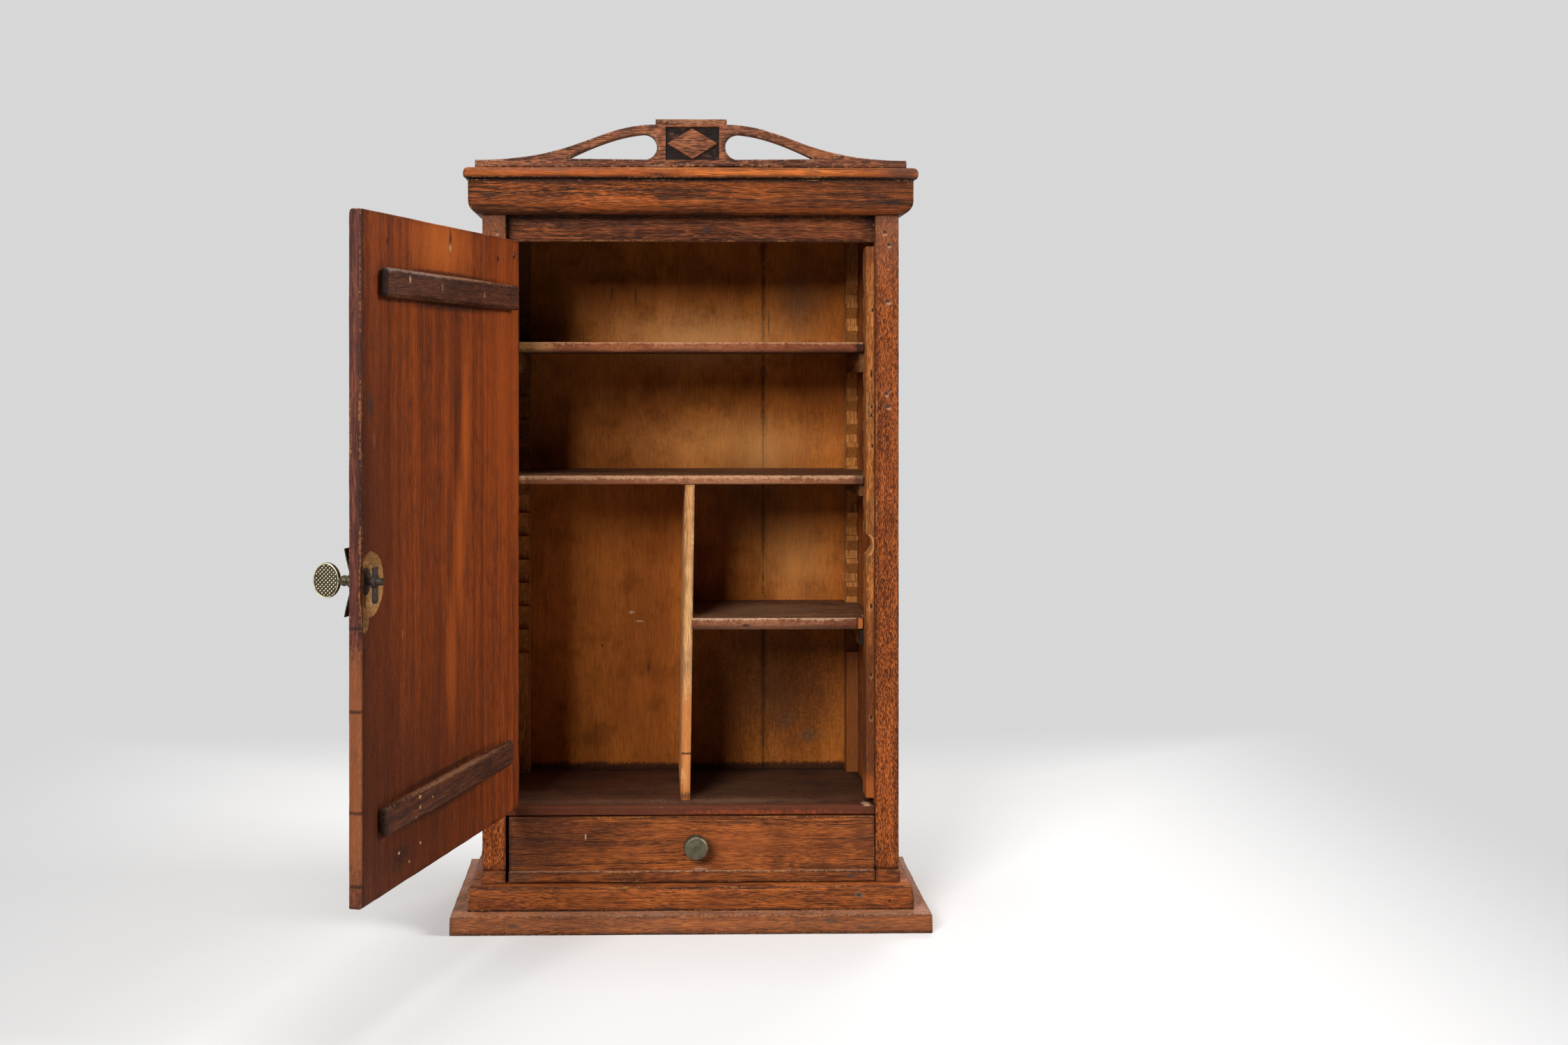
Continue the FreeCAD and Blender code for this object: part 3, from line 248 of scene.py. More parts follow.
def old_wood(name, light, dark, line, streak, dirt_and_shade, worn, bare=(196, 128, 66), band=(.2, .010),
             dashes=(.020, .00075, .45, .57, .75), groups=(.25, .0045), flame=(.045, .0018, .54, .64, .5),
             pepper=(.012, .0009, .35, .2), stain=(.04, .45), margin=(3.5, .6), wear=(.8, .35),
             rough=(.42, .6), relief=.3, gloss=.14, marks=()):
    """Old worked wood. Broad bands of light and dark along the plank; short dark dashes of grain, thick
    in groups and thin between; dark flame streaks in patches; a pepper of tiny dark and pale flecks; cloudy
    stains towards the dark colour of dirty wood and shade; a dark margin along the arrises, with pale wear
    on the arris itself in places; darkening from the mesh, for dirty places and painted shade; raw wood
    where the mesh is marked bare; then single marks (centre, radii, colour, strength, raggedness, and the
    share of the radii that is full). Dashes and streaks are sunk by relief, in millimetres. rough is the
    roughness where the wood is clean and where it is dirty."""
    material, start = new_finish(name)
    shader = start.socket.node
    shader.inputs["Specular IOR Level"].default_value = gloss

    def value(key, out):
        """What the mesh gives under a name."""
        return start.make("ShaderNodeAttribute", {}, out=out, attribute_name=key)

    plank, drawn = value("plank", "Vector"), value("drawn", "Vector")
    edge, grime, raw = (value(key, "Fac") for key in ("edge", "grime", "bare"))
    place = plank.make("ShaderNodeTexNoise", {"Vector": plank.vector("MULTIPLY", (8., 20., 20.)),
                                              "Scale": 1., "Detail": 2.}, out=1)
    place = place.vector("SUBTRACT", (.5, .5, .5)).vector("MULTIPLY", (0., .012, .012)).vector("ADD", plank)
    bands = place.streaks(*band, detail=4.).between(.36, .64)
    along, across, first, last, strength = dashes
    fine = place.streaks(along, across, detail=3., roughness=.6).between(first, last)
    fine = fine * (.35 + .65 * place.streaks(*groups, detail=2.).between(.36, .62)) * strength
    along, across, first, last, strength = flame
    flames = place.streaks(along, across, detail=4., roughness=.65).between(first, last)
    flames = flames * place.streaks(along * 2.5, across * 5).between(.4, .6) * strength
    along, across, darker, paler = pepper
    specks = place.streaks(along, across, detail=1.5, roughness=.6)
    clouds = drawn.make("ShaderNodeTexNoise", {"Vector": drawn, "Scale": 1 / stain[0], "Detail": 4.,
                                               "Roughness": .6})
    grit = drawn.make("ShaderNodeTexNoise", {"Vector": drawn, "Scale": 420., "Detail": 3.})
    paint = bands.blend(colour(*dark), colour(*light))
    paint = fine.blend(paint, colour(*line))
    paint = flames.blend(paint, colour(*streak))
    paint = (specks.between(.53, .61) * darker).blend(paint, colour(*line))
    paint = (specks.between(.46, .37) * paler).blend(paint, colour(*np.add(light, worn) / 2))
    paint = (clouds.between(.47, .72) * stain[1]).blend(paint, colour(*dirt_and_shade))
    near = (edge + (clouds - .5) * (3 * margin[0])).between(margin[0], 0.)
    shade = near.most(edge.between(1.2, .3)) * margin[1]
    paint = shade.blend(paint, colour(*dirt_and_shade))
    soil_and_shade = (grime * (.35 + 1.3 * clouds) + grime * (grit - .5)).between(.12, .95)
    paint = soil_and_shade.blend(paint, colour(*dirt_and_shade))
    reach, strength = wear
    rubbed = (edge + (.56 - clouds) * (8 * reach) + (grit - .5) * (6 * reach)).between(reach, .1) * strength
    paint = rubbed.blend(paint, colour(*worn))
    wood = bands.blend(colour(*(.8 * c for c in bare)), colour(*bare))
    paint = raw.between(.25, .75).blend(paint, wood)
    uneven = grit * 1.6 + clouds * 1.2 - 1.4
    for centre, radii, tint, strength, ragged, full in marks:
        apart = drawn.spot(centre, radii) + uneven * ragged
        paint = (apart.between(1., full) * strength).blend(paint, colour(*tint))
    shine = rough[0] + (rough[1] - rough[0]) * (flames * .5).most(clouds.between(.35, .7)).most(soil_and_shade)
    height = bands * .3 - fine * .8 - flames * .7 - specks.between(.5, .62) * darker + grit * .35
    normal = height.make("ShaderNodeBump", {"Height": height, "Distance": relief / 1000, "Strength": 1.})
    for key, signal in (("Base Color", paint), ("Roughness", shine), ("Normal", normal)):
        start.socket.id_data.links.new(signal.socket, shader.inputs[key])
    return material


def board_corners(node):
    """Lowest and highest corner of a CAD node, in millimetres."""
    low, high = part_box(node)
    return np.array(low) * 1000, np.array(high) * 1000


def rounded_top(low, high, small, big):
    """Edge radius that is big along the top of the front and ends and small elsewhere."""
    return lambda q: small + (big - small) * (fade(q[:, 2], high[2] - 2.4 * big, high[2] - 1.2 * big)
                                              * fade(q[:, 1], high[1] - 2, high[1] - 14))


OAK = dict(light=(184, 97, 40), dark=(126, 62, 28), line=(52, 27, 16), streak=(42, 24, 16),
           dirt_and_shade=(38, 24, 18), worn=(212, 146, 86), pepper=(.010, .0005, .55, .35),
           flame=(.14, .0020, .54, .62, .9), dashes=(.04, .0006, .46, .58, .6))
ANY = 9999.


def on_face(y, reach, rows):
    """Marks on one face of a board, which go in by reach: each row gives x, z, half width, half height, and
    the colour, strength, raggedness and full share."""
    return [((x, y, z), (wide, reach, tall), *look) for x, z, wide, tall, *look in rows]


DUST, KNOT = (186, 150, 122), (58, 44, 38)
PLINTH_MARKS = {
    "plinth_lower": on_face(0, ANY, [
        (-141.8, 7.8, 7, 2.6, KNOT, .85, .5, .3), (111, 10.6, 9, 3.2, KNOT, .85, .6, .3),
        (137.5, 4.7, 6, 2.2, KNOT, .7, .6, .3), (0, 16.2, ANY, 1.6, DUST, .45, .9, .2),
        (0, 9, ANY, 12, (190, 132, 96), .2, .8, 0.)]),
    "plinth_upper": on_face(0, ANY, [
        (135.3, 27.4, 4.2, 3.2, (112, 90, 72), .8, .3, .6),
        (135.3, 27.4, 2.6, 1.9, (60, 48, 42), .9, .4, .3),
        (160, 22.6, 1.5, 1.5, (24, 16, 12), .95, .3, .4), (8, 33, 24, 1.6, (64, 42, 32), .7, .9, .2),
        (18, 28.5, 18, 1.4, (64, 42, 32), .6, .9, .2)])}
for node, big, seed in (("plinth_lower", 2.5, 11), ("plinth_upper", 5., 12)):
    low, high = board_corners(node)
    form = worn_board(low, high, 0, radius=big, seed=seed, edge_radius=rounded_top(low, high, .7, big),
                      dirt_and_shade=((2, low[2], 1.5, .9),), cell=3.5)
    oak = old_wood("oak_" + node, **OAK, marks=PLINTH_MARKS[node])
    put_in(node + "_board", form, oak, "cabinet", [node])


# Sides of the carcass: solid oak boards standing on the plinth, with a narrow oak stile nailed on the
# front edge of each. The stiles are straight-grained and full of short dark pores; the left one is cut
# out for the hinge leaves. A small proud block finishes each stile at its foot.
STILE_OAK = dict(OAK, light=(176, 88, 37), dark=(130, 62, 27), line=(54, 24, 12), streak=(70, 33, 17),
                 worn=(222, 144, 74), gloss=.1, dashes=(.006, .0009, .46, .58, .5), groups=(.05, .004),
                 band=(.2, .005), pepper=(.003, .0005, .85, .6), flame=(.0012, .005, .54, .62, .35),
                 margin=(1.6, .6))
HALF, INSIDE_HALF = 169., 150.
STILE_NAILS = ((11.5, 563), (8, 553), (9, 507), (10.5, 432), (9, 421.5))
GREY_OAK = (150, 98, 74)
stile_marks = {side: [((side * 160, 0, 580), (ANY, ANY, 75), GREY_OAK, .5, .4, 0.)] for side in (-1, 1)}
for side, marks in stile_marks.items():
    for inset, z in STILE_NAILS:
        x = side * (HALF - inset)
        marks.extend(on_face(0, ANY, [(x, z, 4.2, 4.2, (166, 112, 76), .35, .8, .4),
                                      (x + .6, z - 2.2, 2.4, 1.7, (220, 180, 144), .45, .8, .3),
                                      (x, z, 2.4, 2.2, (40, 26, 20), .85, .8, .3)]))
oak_side = old_wood("oak_side", **dict(OAK, flame=(.06, .0016, .53, .62, .45)))
HINGE_SPANS = ((150., 190.), (463., 503.))
LEAF = 1.0


def hinge_mortise(at, inward):
    """Sink the face on the plane x = at by the thickness of a hinge leaf over each hinge's height."""
    def bend(p, q):
        """Move the points p of a board by where they stood, q, in the square box."""
        let_in = sum((q[:, 2] > a - .01) & (q[:, 2] < b + .01) for a, b in HINGE_SPANS)
        let_in = let_in * (np.abs(q[:, 0] - at) < 1.3)
        p[:, 0] += inward * (LEAF + .05) * let_in
        return p, {}
    return bend


hinge_cuts = [z + step for span in HINGE_SPANS for z, step in zip(span, (-.02, .02))]
hinge_cuts += [z for span in HINGE_SPANS for z in span]
for name, side in (("left", -1), ("right", 1)):
    low, high = board_corners("side_" + name)
    form = worn_board(low, high, 2, radius=.8, seed=20 + side, cell=5.)
    put_in(f"side_{name}_board", form, oak_side, "cabinet", ["side_" + name])
    low, high = board_corners("stile_" + name)
    hinged = {"bend": hinge_mortise(-INSIDE_HALF, -1), "extra": ((), (), hinge_cuts)} if side < 0 else {}
    # Each stile is darkened under the cornice by dirt and painted shade, and along its foot.
    form = worn_board(low, high, 2, radius=.9, seed=23 + side, cell=3., **hinged,
                      dirt_and_shade=((2, high[2] - 28, 9, .8), (2, low[2], 6, .7)))
    oak_stile = old_wood("oak_stile_" + name, **STILE_OAK, marks=stile_marks[side])
    put_in(f"stile_{name}_board", form, oak_stile, "cabinet", ["stile_" + name])
    low, high = board_corners("foot_bead_" + name)
    form = worn_board(low, high, 0, radius=1.6, seed=26 + side, cell=1.5,
                      edge_radius=rounded_top(low, high, .6, 1.6))
    put_in(f"foot_bead_{name}_block", form, oak_side, "cabinet", ["foot_bead_" + name])


# Floor board: bottom of the cupboard, of thin softwood, its front edge stained red and worn round, its
# top dull and dusty from use.
FLOOR_TOP = 97
FLOOR_MARKS = [((0, -66, 0), (ANY, 8, ANY), (92, 46, 28), .85, .3, .5),
               ((60, -66, 91.5), (110, 5, 4), (164, 74, 38), .75, .7, .2),
               ((-90, -66, 92), (70, 5, 3), (124, 62, 36), .5, .8, .1),
               ((0, -65.5, 96.5), (ANY, 2.2, 1.5), (186, 124, 84), .55, 1.1, .1),
               ((40, -44, FLOOR_TOP), (95, 15, 9), (138, 106, 84), .4, 1.1, 0.),
               ((-75, -48, FLOOR_TOP), (60, 9, 9), (128, 96, 76), .3, 1.3, 0.),
               ((143, -57, 96.5), (5, 9, 1.6), (226, 176, 140), .8, .8, .3),
               ((30, 10, FLOOR_TOP), (120, 40, 9), (104, 78, 60), .3, .8, 0.)]
floor_pine = old_wood("floor_pine", light=(92, 58, 40), dark=(76, 47, 33), line=(52, 32, 24),
                      streak=(46, 30, 24), worn=(150, 84, 52), dirt_and_shade=(34, 24, 20), rough=(.6, .8),
                      band=(.3, .03), dashes=(.06, .0012, .44, .66, .35), flame=(.08, .004, .56, .7, .3),
                      stain=(.03, .4), gloss=.12, marks=FLOOR_MARKS)
low, high = board_corners("floor_board")


def worn_front(low, high, small, big):
    """Edge radius that is big along the top of the front and small elsewhere."""
    return lambda q: small + (big - small) * (fade(q[:, 2], high[2] - 2.4 * big, high[2] - 1.2 * big)
                                              * fade(q[:, 1], low[1] + 8, low[1] + 4))


form = worn_board(low, high, 0, radius=2.5, seed=31, edge_radius=worn_front(low, high, .5, 2.5),
                  dirt_and_shade=((1, high[1], 12, .9), (0, low[0], 6, .7), (0, high[0], 6, .7)))
put_in("floor_board_plank", form, floor_pine, "cabinet", ["floor_board"])


# Rail above the door: an oak board let in between the stiles and set back from their faces, dark with
# old dirt and painted shade under the cornice and at its ends.
RAIL_MARKS = on_face(0, ANY, [
    (12.5, 565.7, 4.5, 5, (56, 46, 48), .75, .5, .2), (-11.4, 562, 5, 3, (56, 46, 48), .6, .6, .2)])
RAIL_OAK = dict(OAK, light=(166, 88, 44), dark=(118, 59, 32), flame=(.16, .0024, .48, .57, .85),
                dashes=(.045, .0009, .45, .57, .75))
oak_rail = old_wood("oak_rail", **RAIL_OAK, marks=RAIL_MARKS)
low, high = board_corners("top_rail")
form = worn_board(low, high, 0, radius=1.2, seed=35, cell=3.,
                  dirt_and_shade=((2, 578, 10, .8), (0, low[0], 4, .6), (0, high[0], 4, .6)))
put_in("top_rail_board", form, oak_rail, "cabinet", ["top_rail"])


# Cornice: an oak moulding with a quarter round below a flat face, run in one length and mitred round the
# front and both ends. Its upper edge is black with dirt and a painted shadow under the top board.
CORNICE_MARKS = [((164, -76, 586), (14, 9, 2.6), (36, 25, 21), .9, .7, .3),
                 ((157, -76, 590), (9, 9, 1.5), (36, 25, 21), .85, .7, .3),
                 ((150, -76, 598), (90, 20, 9), (60, 34, 24), .6, .5, 0.),
                 ((140, -76, 588), (60, 20, 15), (64, 36, 25), .5, .5, 0.),
                 ((-164, -76, 591), (9, 9, 4.5), (48, 32, 28), .7, .6, .2)]
CORNICE_OAK = dict(OAK, light=(184, 94, 38), dark=(126, 60, 26), streak=(40, 24, 17),
                   flame=(.2, .0028, .47, .57, .9), dashes=(.05, .0009, .45, .57, .75))
oak_cornice = old_wood("oak_cornice", **CORNICE_OAK, marks=CORNICE_MARKS)
FRONT_Y, BACK_Y = -65.5, 89.5
CORNICE_FOOT, CORNICE_TOP, CORNICE_OUT = 576.5, 604.5, 10.5


def tube(rows, around):
    """Faces of a tube, rows of points numbered round and round: quads between the rows, and at each end
    a fan to a middle point. The two middle points are numbered after the rows."""
    count = rows * around
    index = np.arange(count).reshape(rows, around)
    beside = np.roll(index, -1, axis=1)
    quads = np.stack([index[:-1], beside[:-1], beside[1:], index[1:]], -1).reshape(-1, 4)
    return [quads, np.stack([beside[0], index[0], np.full(around, count)], 1),
            np.stack([index[-1], beside[-1], np.full(around, count + 1)], 1)]


def moulding(carry, seed):
    """Closed section (out, height) carried along a path in even steps: a quarter circle, a short round
    into the flat face, the face, and the back. carry(t, out) gives x and y at a share t of the path."""
    turn = np.linspace(0, math.pi / 2, 15)
    arc = np.stack([CORNICE_OUT * np.sin(turn), CORNICE_FOOT + CORNICE_OUT * (1 - np.cos(turn))], 1)
    face = np.linspace(CORNICE_FOOT + CORNICE_OUT + 1, CORNICE_TOP - 1, 9)
    face = np.stack([np.full(9, CORNICE_OUT), face], 1)
    top = np.array([[CORNICE_OUT - .3, CORNICE_TOP - .3], [CORNICE_OUT - 1, CORNICE_TOP],
                    [4, CORNICE_TOP], [0, CORNICE_TOP], [0, 595], [0, 585]])
    section = np.concatenate([arc, face, top])
    steps = 110
    out, z = (np.tile(column, steps) for column in section.T)
    t = np.repeat(np.linspace(0, 1, steps), len(section))
    x, y = carry(t, out)
    rough = np.stack([x, y, z], 1)
    out = out * (1 - .012 * (1 + smooth_noise(rough, 21, seed)))
    x, y = carry(t, out)
    p = np.stack([x, y, z], 1)
    n = len(section)
    p = np.concatenate([p, [p[:n].mean(0), p[-n:].mean(0)]])
    edge = np.minimum(np.hypot(p[:, 2] - CORNICE_TOP, np.append(out, (0, 0)) - CORNICE_OUT),
                      np.append(np.minimum(t, 1 - t) * 150, (0, 0)) + .6)
    # Darker along the top, with dirt and a painted shadow under the top board, and less along the foot.
    grime = np.exp(-np.abs(p[:, 2] - CORNICE_TOP) / 3.6) + .5 * np.exp(-np.abs(p[:, 2] - CORNICE_FOOT) / 4)
    return p, tube(steps, n), {"edge": edge, "grime": grime, "drawn": p / 1000}


def cornice_length(name, carry, order, seed):
    """One length of moulding, its grain along the first of the axes in order."""
    p, faces, values = moulding(carry, seed)
    values["plank"] = p[:, order] / 1000
    put_in(name + "_moulding", {"points": p, "faces": faces, "values": values}, oak_cornice, "cabinet",
           [name])


cornice_length("cornice_front", lambda t, out: ((2 * t - 1) * (HALF + out), FRONT_Y - out), [0, 2, 1], 41)
for name, side in (("left", -1), ("right", 1)):
    cornice_length("cornice_" + name, lambda t, out: (side * (HALF + out), (FRONT_Y - out) * (1 - t)
                                                      + BACK_Y * t), [1, 2, 0], 43 + side)


# Top board: thin oak, bull-nosed at the front and ends, resting on the cornice. Its nose is rubbed
# bright, and its upper face is duller with dust.
TOP_MARKS = [((170, -80, 609), (26, 30, ANY), (78, 50, 44), .7, .5, .1),
             ((0, 20, 614), (ANY, 100, 1.6), (112, 66, 42), .75, .5, .3),
             ((-28, -82, 608), (15, 20, 2.2), (66, 38, 26), .75, .8, .2),
             ((-120, -82, 612), (60, 20, 3), (120, 72, 54), .5, .8, .1)]
TOP_OAK = dict(OAK, light=(222, 122, 52), dark=(178, 90, 38), line=(112, 58, 26),
               streak=(72, 41, 26), pepper=(.02, .0008, .4, .15))
oak_top = old_wood("oak_top", **TOP_OAK, marks=TOP_MARKS)
low, high = board_corners("top_board")


def bull_nose(q):
    """Edge radius of half the thickness at the front and ends, small along the back."""
    return .6 + 3.8 * fade(q[:, 1], high[1] - 2, high[1] - 14)


# Dirt and a painted shadow darken the lower edge, where the board lies on the cornice.
form = worn_board(low, high, 0, radius=4.4, seed=51, edge_radius=bull_nose, cell=3.5,
                  dirt_and_shade=((2, low[2], 1.2, .9),))
put_in("top_board_plank", form, oak_top, "cabinet", ["top_board"])


# Crest: one oak board sawn to long arms that sweep up to a middle block, pierced in each arm, with a sunk
# panel and a bevelled lozenge carved in the block. It stands on the top board, dry and weathered.
CREST_FRONT, CREST_BASE, CREST_DEEP = -75., 614., 10.
CREST_HALF, BLOCK_HALF, BLOCK_TOP = 174., 28.7, 39.
ARM_TOP = np.array([(CREST_HALF, 6.), (92., 5.6), (76., 34.8), (BLOCK_HALF, 34.6)])
PIERCING_TOP = np.array([(99., 7.), (80., 16.5), (58., 25.5), (38., 27.)])
PIERCING_END = np.array([(38., 27.), (27.5, 16.8), (36., 6.5)])
PANEL_MIDDLE, PANEL_HALF = np.array([1., 19.3]), np.array([21.6, 13.3])
PANEL_SUNK, LOZENGE_BELOW = 2.5, .4


def bezier(poles, count):
    """Cubic curve drawn towards four poles."""
    t = np.linspace(0, 1, count)[:, None]
    a, b, c, d = poles
    return (1 - t)**3 * a + 3 * t * (1 - t)**2 * b + 3 * t**2 * (1 - t) * c + t**3 * d


def arc_through(points, count):
    """Circular arc through three points, by the angles seen from the centre of their circle."""
    a, b, c = points
    sides = 2 * np.array([b - a, c - a])
    centre = np.linalg.solve(sides, [b @ b - a @ a, c @ c - a @ a])
    angles = np.unwrap([math.atan2(*(p - centre)[::-1]) for p in points])
    t = np.interp(np.linspace(0, 1, count), [0, .5, 1], angles)
    return centre + math.dist(a, centre) * np.stack([np.cos(t), np.sin(t)], 1)


def cut_sheet(u, v, loops, front, back, layers):
    """Sheet sawn to outlines. The cells of a grid whose middle is inside the loops are kept, their outer
    corners are drawn onto the nearest outline, and the sheet is laid out twice, at depth front(place,
    distance from outline) and at back(...), and joined round every outline by a wall in layers."""
    place = np.stack(np.meshgrid(u, v, indexing="ij"), -1).reshape(-1, 2)
    cells = grid_cells(len(u), len(v))
    start = np.concatenate(loops)
    run = np.concatenate([np.roll(loop, -1, axis=0) - loop for loop in loops])

    def nearest(p):
        """Nearest point of the outlines to each point, and how far off it is."""
        t = ((p[:, None] - start) * run).sum(-1) / np.maximum((run**2).sum(-1), 1e-12)
        on = start + np.clip(t, 0, 1)[..., None] * run
        apart = np.linalg.norm(p[:, None] - on, axis=-1)
        best = apart.argmin(1)
        return on[np.arange(len(p)), best], apart.min(1)

    middle = place[cells].mean(1)
    rises = (start[:, 1] > middle[:, None, 1]) != (start[:, 1] + run[:, 1] > middle[:, None, 1])
    with np.errstate(divide="ignore", invalid="ignore"):
        crossing = start[:, 0] + run[:, 0] * (middle[:, None, 1] - start[:, 1]) / run[:, 1]
    inside = (rises & (crossing > middle[:, None, 0])).sum(1) % 2 == 1
    used, cells = np.unique(cells[inside], return_inverse=True)
    cells = cells.reshape(-1, 4)
    place = place[used]
    n = len(place)
    a, b = cells.ravel(), np.roll(cells, -1, axis=1).ravel()
    rim = ~np.isin(a * n + b, b * n + a)
    a, b = a[rim], b[rim]
    corners = np.unique(a)
    place[corners] = nearest(place[corners])[0]
    off = nearest(place)[1]
    off[corners] = 0
    near, far = front(place, off), back(place, off)
    ring = np.full(n, -1)
    ring[corners] = np.arange(len(corners))
    rows = [corners] + [2 * n + k * len(corners) + np.arange(len(corners)) for k in range(layers)]
    rows.append(n + corners)
    walls = [np.stack([p[ring[b]], p[ring[a]], q[ring[a]], q[ring[b]]], 1) for p, q in zip(rows, rows[1:])]
    share = (np.arange(layers) + 1)[:, None] / (layers + 1)
    between = (near[corners] + share * (far - near)[corners]).ravel()
    flat = np.concatenate([place, place, np.tile(place[corners], (layers, 1))])
    depth = np.concatenate([near, far, between])
    thick = np.abs(far - near)[corners]
    edge = np.concatenate([off, off, (np.minimum(share, 1 - share) * thick).ravel()])
    return flat, depth, [cells, cells[:, ::-1] + n] + walls, edge


def crest_front(place, off):
    """Depth of the carved face: rounded at the outline, sunk in the panel, raised again in the lozenge
    by a bevel from its foot to its face."""
    span = np.abs(place - PANEL_MIDDLE) / PANEL_HALF
    panel = fade(np.max(span, axis=1), 1.004, .985)
    inset = (1 - span.sum(1)) * 11.3
    ground = np.maximum(LOZENGE_BELOW, PANEL_SUNK - (PANEL_SUNK - LOZENGE_BELOW) * fade(inset, 0, 1.15))
    r = .9 + .35 * smooth_noise(np.column_stack([place, off]), 9, 61)
    d = np.minimum(off, r)
    edge_round = r - np.sqrt(np.maximum(r**2 - (r - d)**2, 0))
    return edge_round + panel * ground + .12 * smooth_noise(np.column_stack([place, off * 0]), 14, 62)


def crest_back(place, off):
    """Depth of the plain back face, bevelled a little at the outline."""
    return CREST_DEEP - np.maximum(.8 - off, 0)


arm = bezier(ARM_TOP, 60)
foot = np.array([(x, .9 * (1 - ((x - 27) / 35)**2)) for x in np.linspace(-8, 62, 15)])
outline = np.concatenate([[(-CREST_HALF, 0)], foot, [(CREST_HALF, 0)], arm,
                          [(BLOCK_HALF, BLOCK_TOP), (-BLOCK_HALF, BLOCK_TOP)], arm[::-1] * (-1, 1)])
piercing = np.concatenate([bezier(PIERCING_TOP, 40), arc_through(PIERCING_END, 30)[1:]])
columns = np.concatenate([np.linspace(-CREST_HALF, CREST_HALF, 420), np.linspace(-22, 24, 104)])
columns = np.unique(columns.round(2))
rows = np.unique(np.concatenate([np.linspace(0, BLOCK_TOP, 49), np.linspace(5.5, 33, 60)]).round(2))
columns = columns[np.append(True, np.diff(columns) > .12)]
rows = rows[np.append(True, np.diff(rows) > .12)]
flat, depth, faces, edge = cut_sheet(columns, rows, [outline, piercing, piercing[::-1] * (-1, 1)],
                                     crest_front, crest_back, 3)
p = np.column_stack([flat[:, 0], CREST_FRONT + depth, CREST_BASE + flat[:, 1]])
span = np.abs(flat - PANEL_MIDDLE) / PANEL_HALF
sunk = (np.max(span, axis=1) < 1) * fade(depth, 1.2, 2.2) * (depth < 4)
form = {"points": p, "faces": faces, "values": {
    "plank": p[:, [0, 2, 1]] / 1000, "drawn": p / 1000, "edge": edge,
    "grime": np.maximum(sunk, .6 * np.exp(-flat[:, 1] / 2))}}
CREST_OAK = dict(light=(178, 106, 68), dark=(124, 69, 46), line=(46, 28, 22), streak=(46, 30, 26),
                 dirt_and_shade=(34, 25, 23), worn=(214, 160, 120), pepper=(.008, .0007, .6, .4))
CREST_MARKS = [((110, -75, 632), (70, 40, 14), (168, 96, 54), .4, .6, 0.),
               ((1, -75, 651.5), (34, 40, 3.4), (176, 122, 88), .6, .7, .2),
               ((1, -76.5, 633), (19, 2, 11), (142, 68, 38), .6, .2, .5)]
oak_crest = old_wood("oak_crest", **CREST_OAK, wear=(1.6, .35), dashes=(.012, .0009, .46, .58, .75),
                     stain=(.014, .5), margin=(3.5, .6), marks=CREST_MARKS)
put_in("crest_board", form, oak_crest, "cabinet", ["crest"])


# Back: two upright softwood boards nailed behind the carcass, with an open joint right of the middle.
# Inside they are honey-coloured, darker with painted shade at the side corners and the top, and with dirt
# at the floor; painted light and shade lie across the compartments.
PINE = dict(light=(176, 100, 34), dark=(152, 82, 25), line=(112, 58, 18), streak=(80, 42, 16),
            worn=(190, 128, 66), dirt_and_shade=(40, 21, 10), gloss=.1)
STAIN, SPOT = (92, 78, 58), (48, 28, 16)
BACK_INSIDE = 81.5
CORNER_SHADE = {"left": (0, -INSIDE_HALF, 5, .5), "right": (0, INSIDE_HALF, 12, .7)}
# Besides stains and spots, these marks paint light and shade: pale pools of painted light low in the
# compartments (x 66, 10, 40 and 95), and painted shade over the right-hand compartments (x 60 and 80) and
# over the lower left one (x -45).
BACK_MARKS = on_face(81, 6, [
    (-67.5, 519, 1.6, 13, SPOT, .7, .4, .1), (-46.4, 517, 1.4, 14, SPOT, .7, .4, .1),
    (72, 493, 1.1, 18, (36, 20, 12), .9, .5, .2), (101, 515, 34, 50, STAIN, .4, .5, 0.),
    (-50, 236, 3.6, 1.6, (226, 204, 176), .8, .8, .2), (-43, 228, 5, 1.2, (226, 204, 176), .7, .9, .2),
    (-76, 206.6, 2, 2, SPOT, .9, .4, .3), (-35, 187, 2.8, 8, SPOT, .8, .7, .2),
    (87.6, 139, 9, 10, STAIN, .6, .6, .1), (107.5, 126.6, 13, 10, STAIN, .6, .6, .1),
    (80, 165, 110, 95, (44, 22, 10), .8, .4, 0.), (0, 99, ANY, 5, (36, 18, 11), .85, .8, .3),
    (66, 372, 30, 40, (222, 156, 88), .45, .4, 0.), (10, 480, 130, 40, (214, 158, 98), .45, .4, 0.),
    (40, 385, 130, 45, (206, 146, 84), .4, .4, 0.), (95, 285, 50, 60, (204, 146, 84), .35, .4, 0.),
    (60, 330, 75, 80, (52, 26, 11), .6, .3, 0.), (-45, 220, 65, 150, (120, 60, 20), .35, .3, 0.)])
pine_back = old_wood("pine_back", **PINE, band=(.09, .030), dashes=(.16, .0016, .44, .66, .22),
                     groups=(.3, .012), flame=(.06, .004, .60, .74, .45), rough=(.55, .72), relief=.15,
                     stain=(.022, .35), marks=BACK_MARKS)
for name, seed in (("left", 71), ("right", 72)):
    low, high = board_corners("back_board_" + name)
    # The line along the floor is dirt; the darkening along the top and at the side corners is painted shade.
    form = worn_board(low, high, 2, radius=.6, seed=seed, cell=5.,
                      dirt_and_shade=((2, FLOOR_TOP, 2.2, .95), CORNER_SHADE[name], (2, 604, 14, .6)))
    form["values"]["grime"] *= fade(form["points"][:, 1], BACK_INSIDE + 3, BACK_INSIDE + 1)
    put_in(f"back_board_{name}_plank", form, pine_back, "cabinet", ["back_board_" + name])


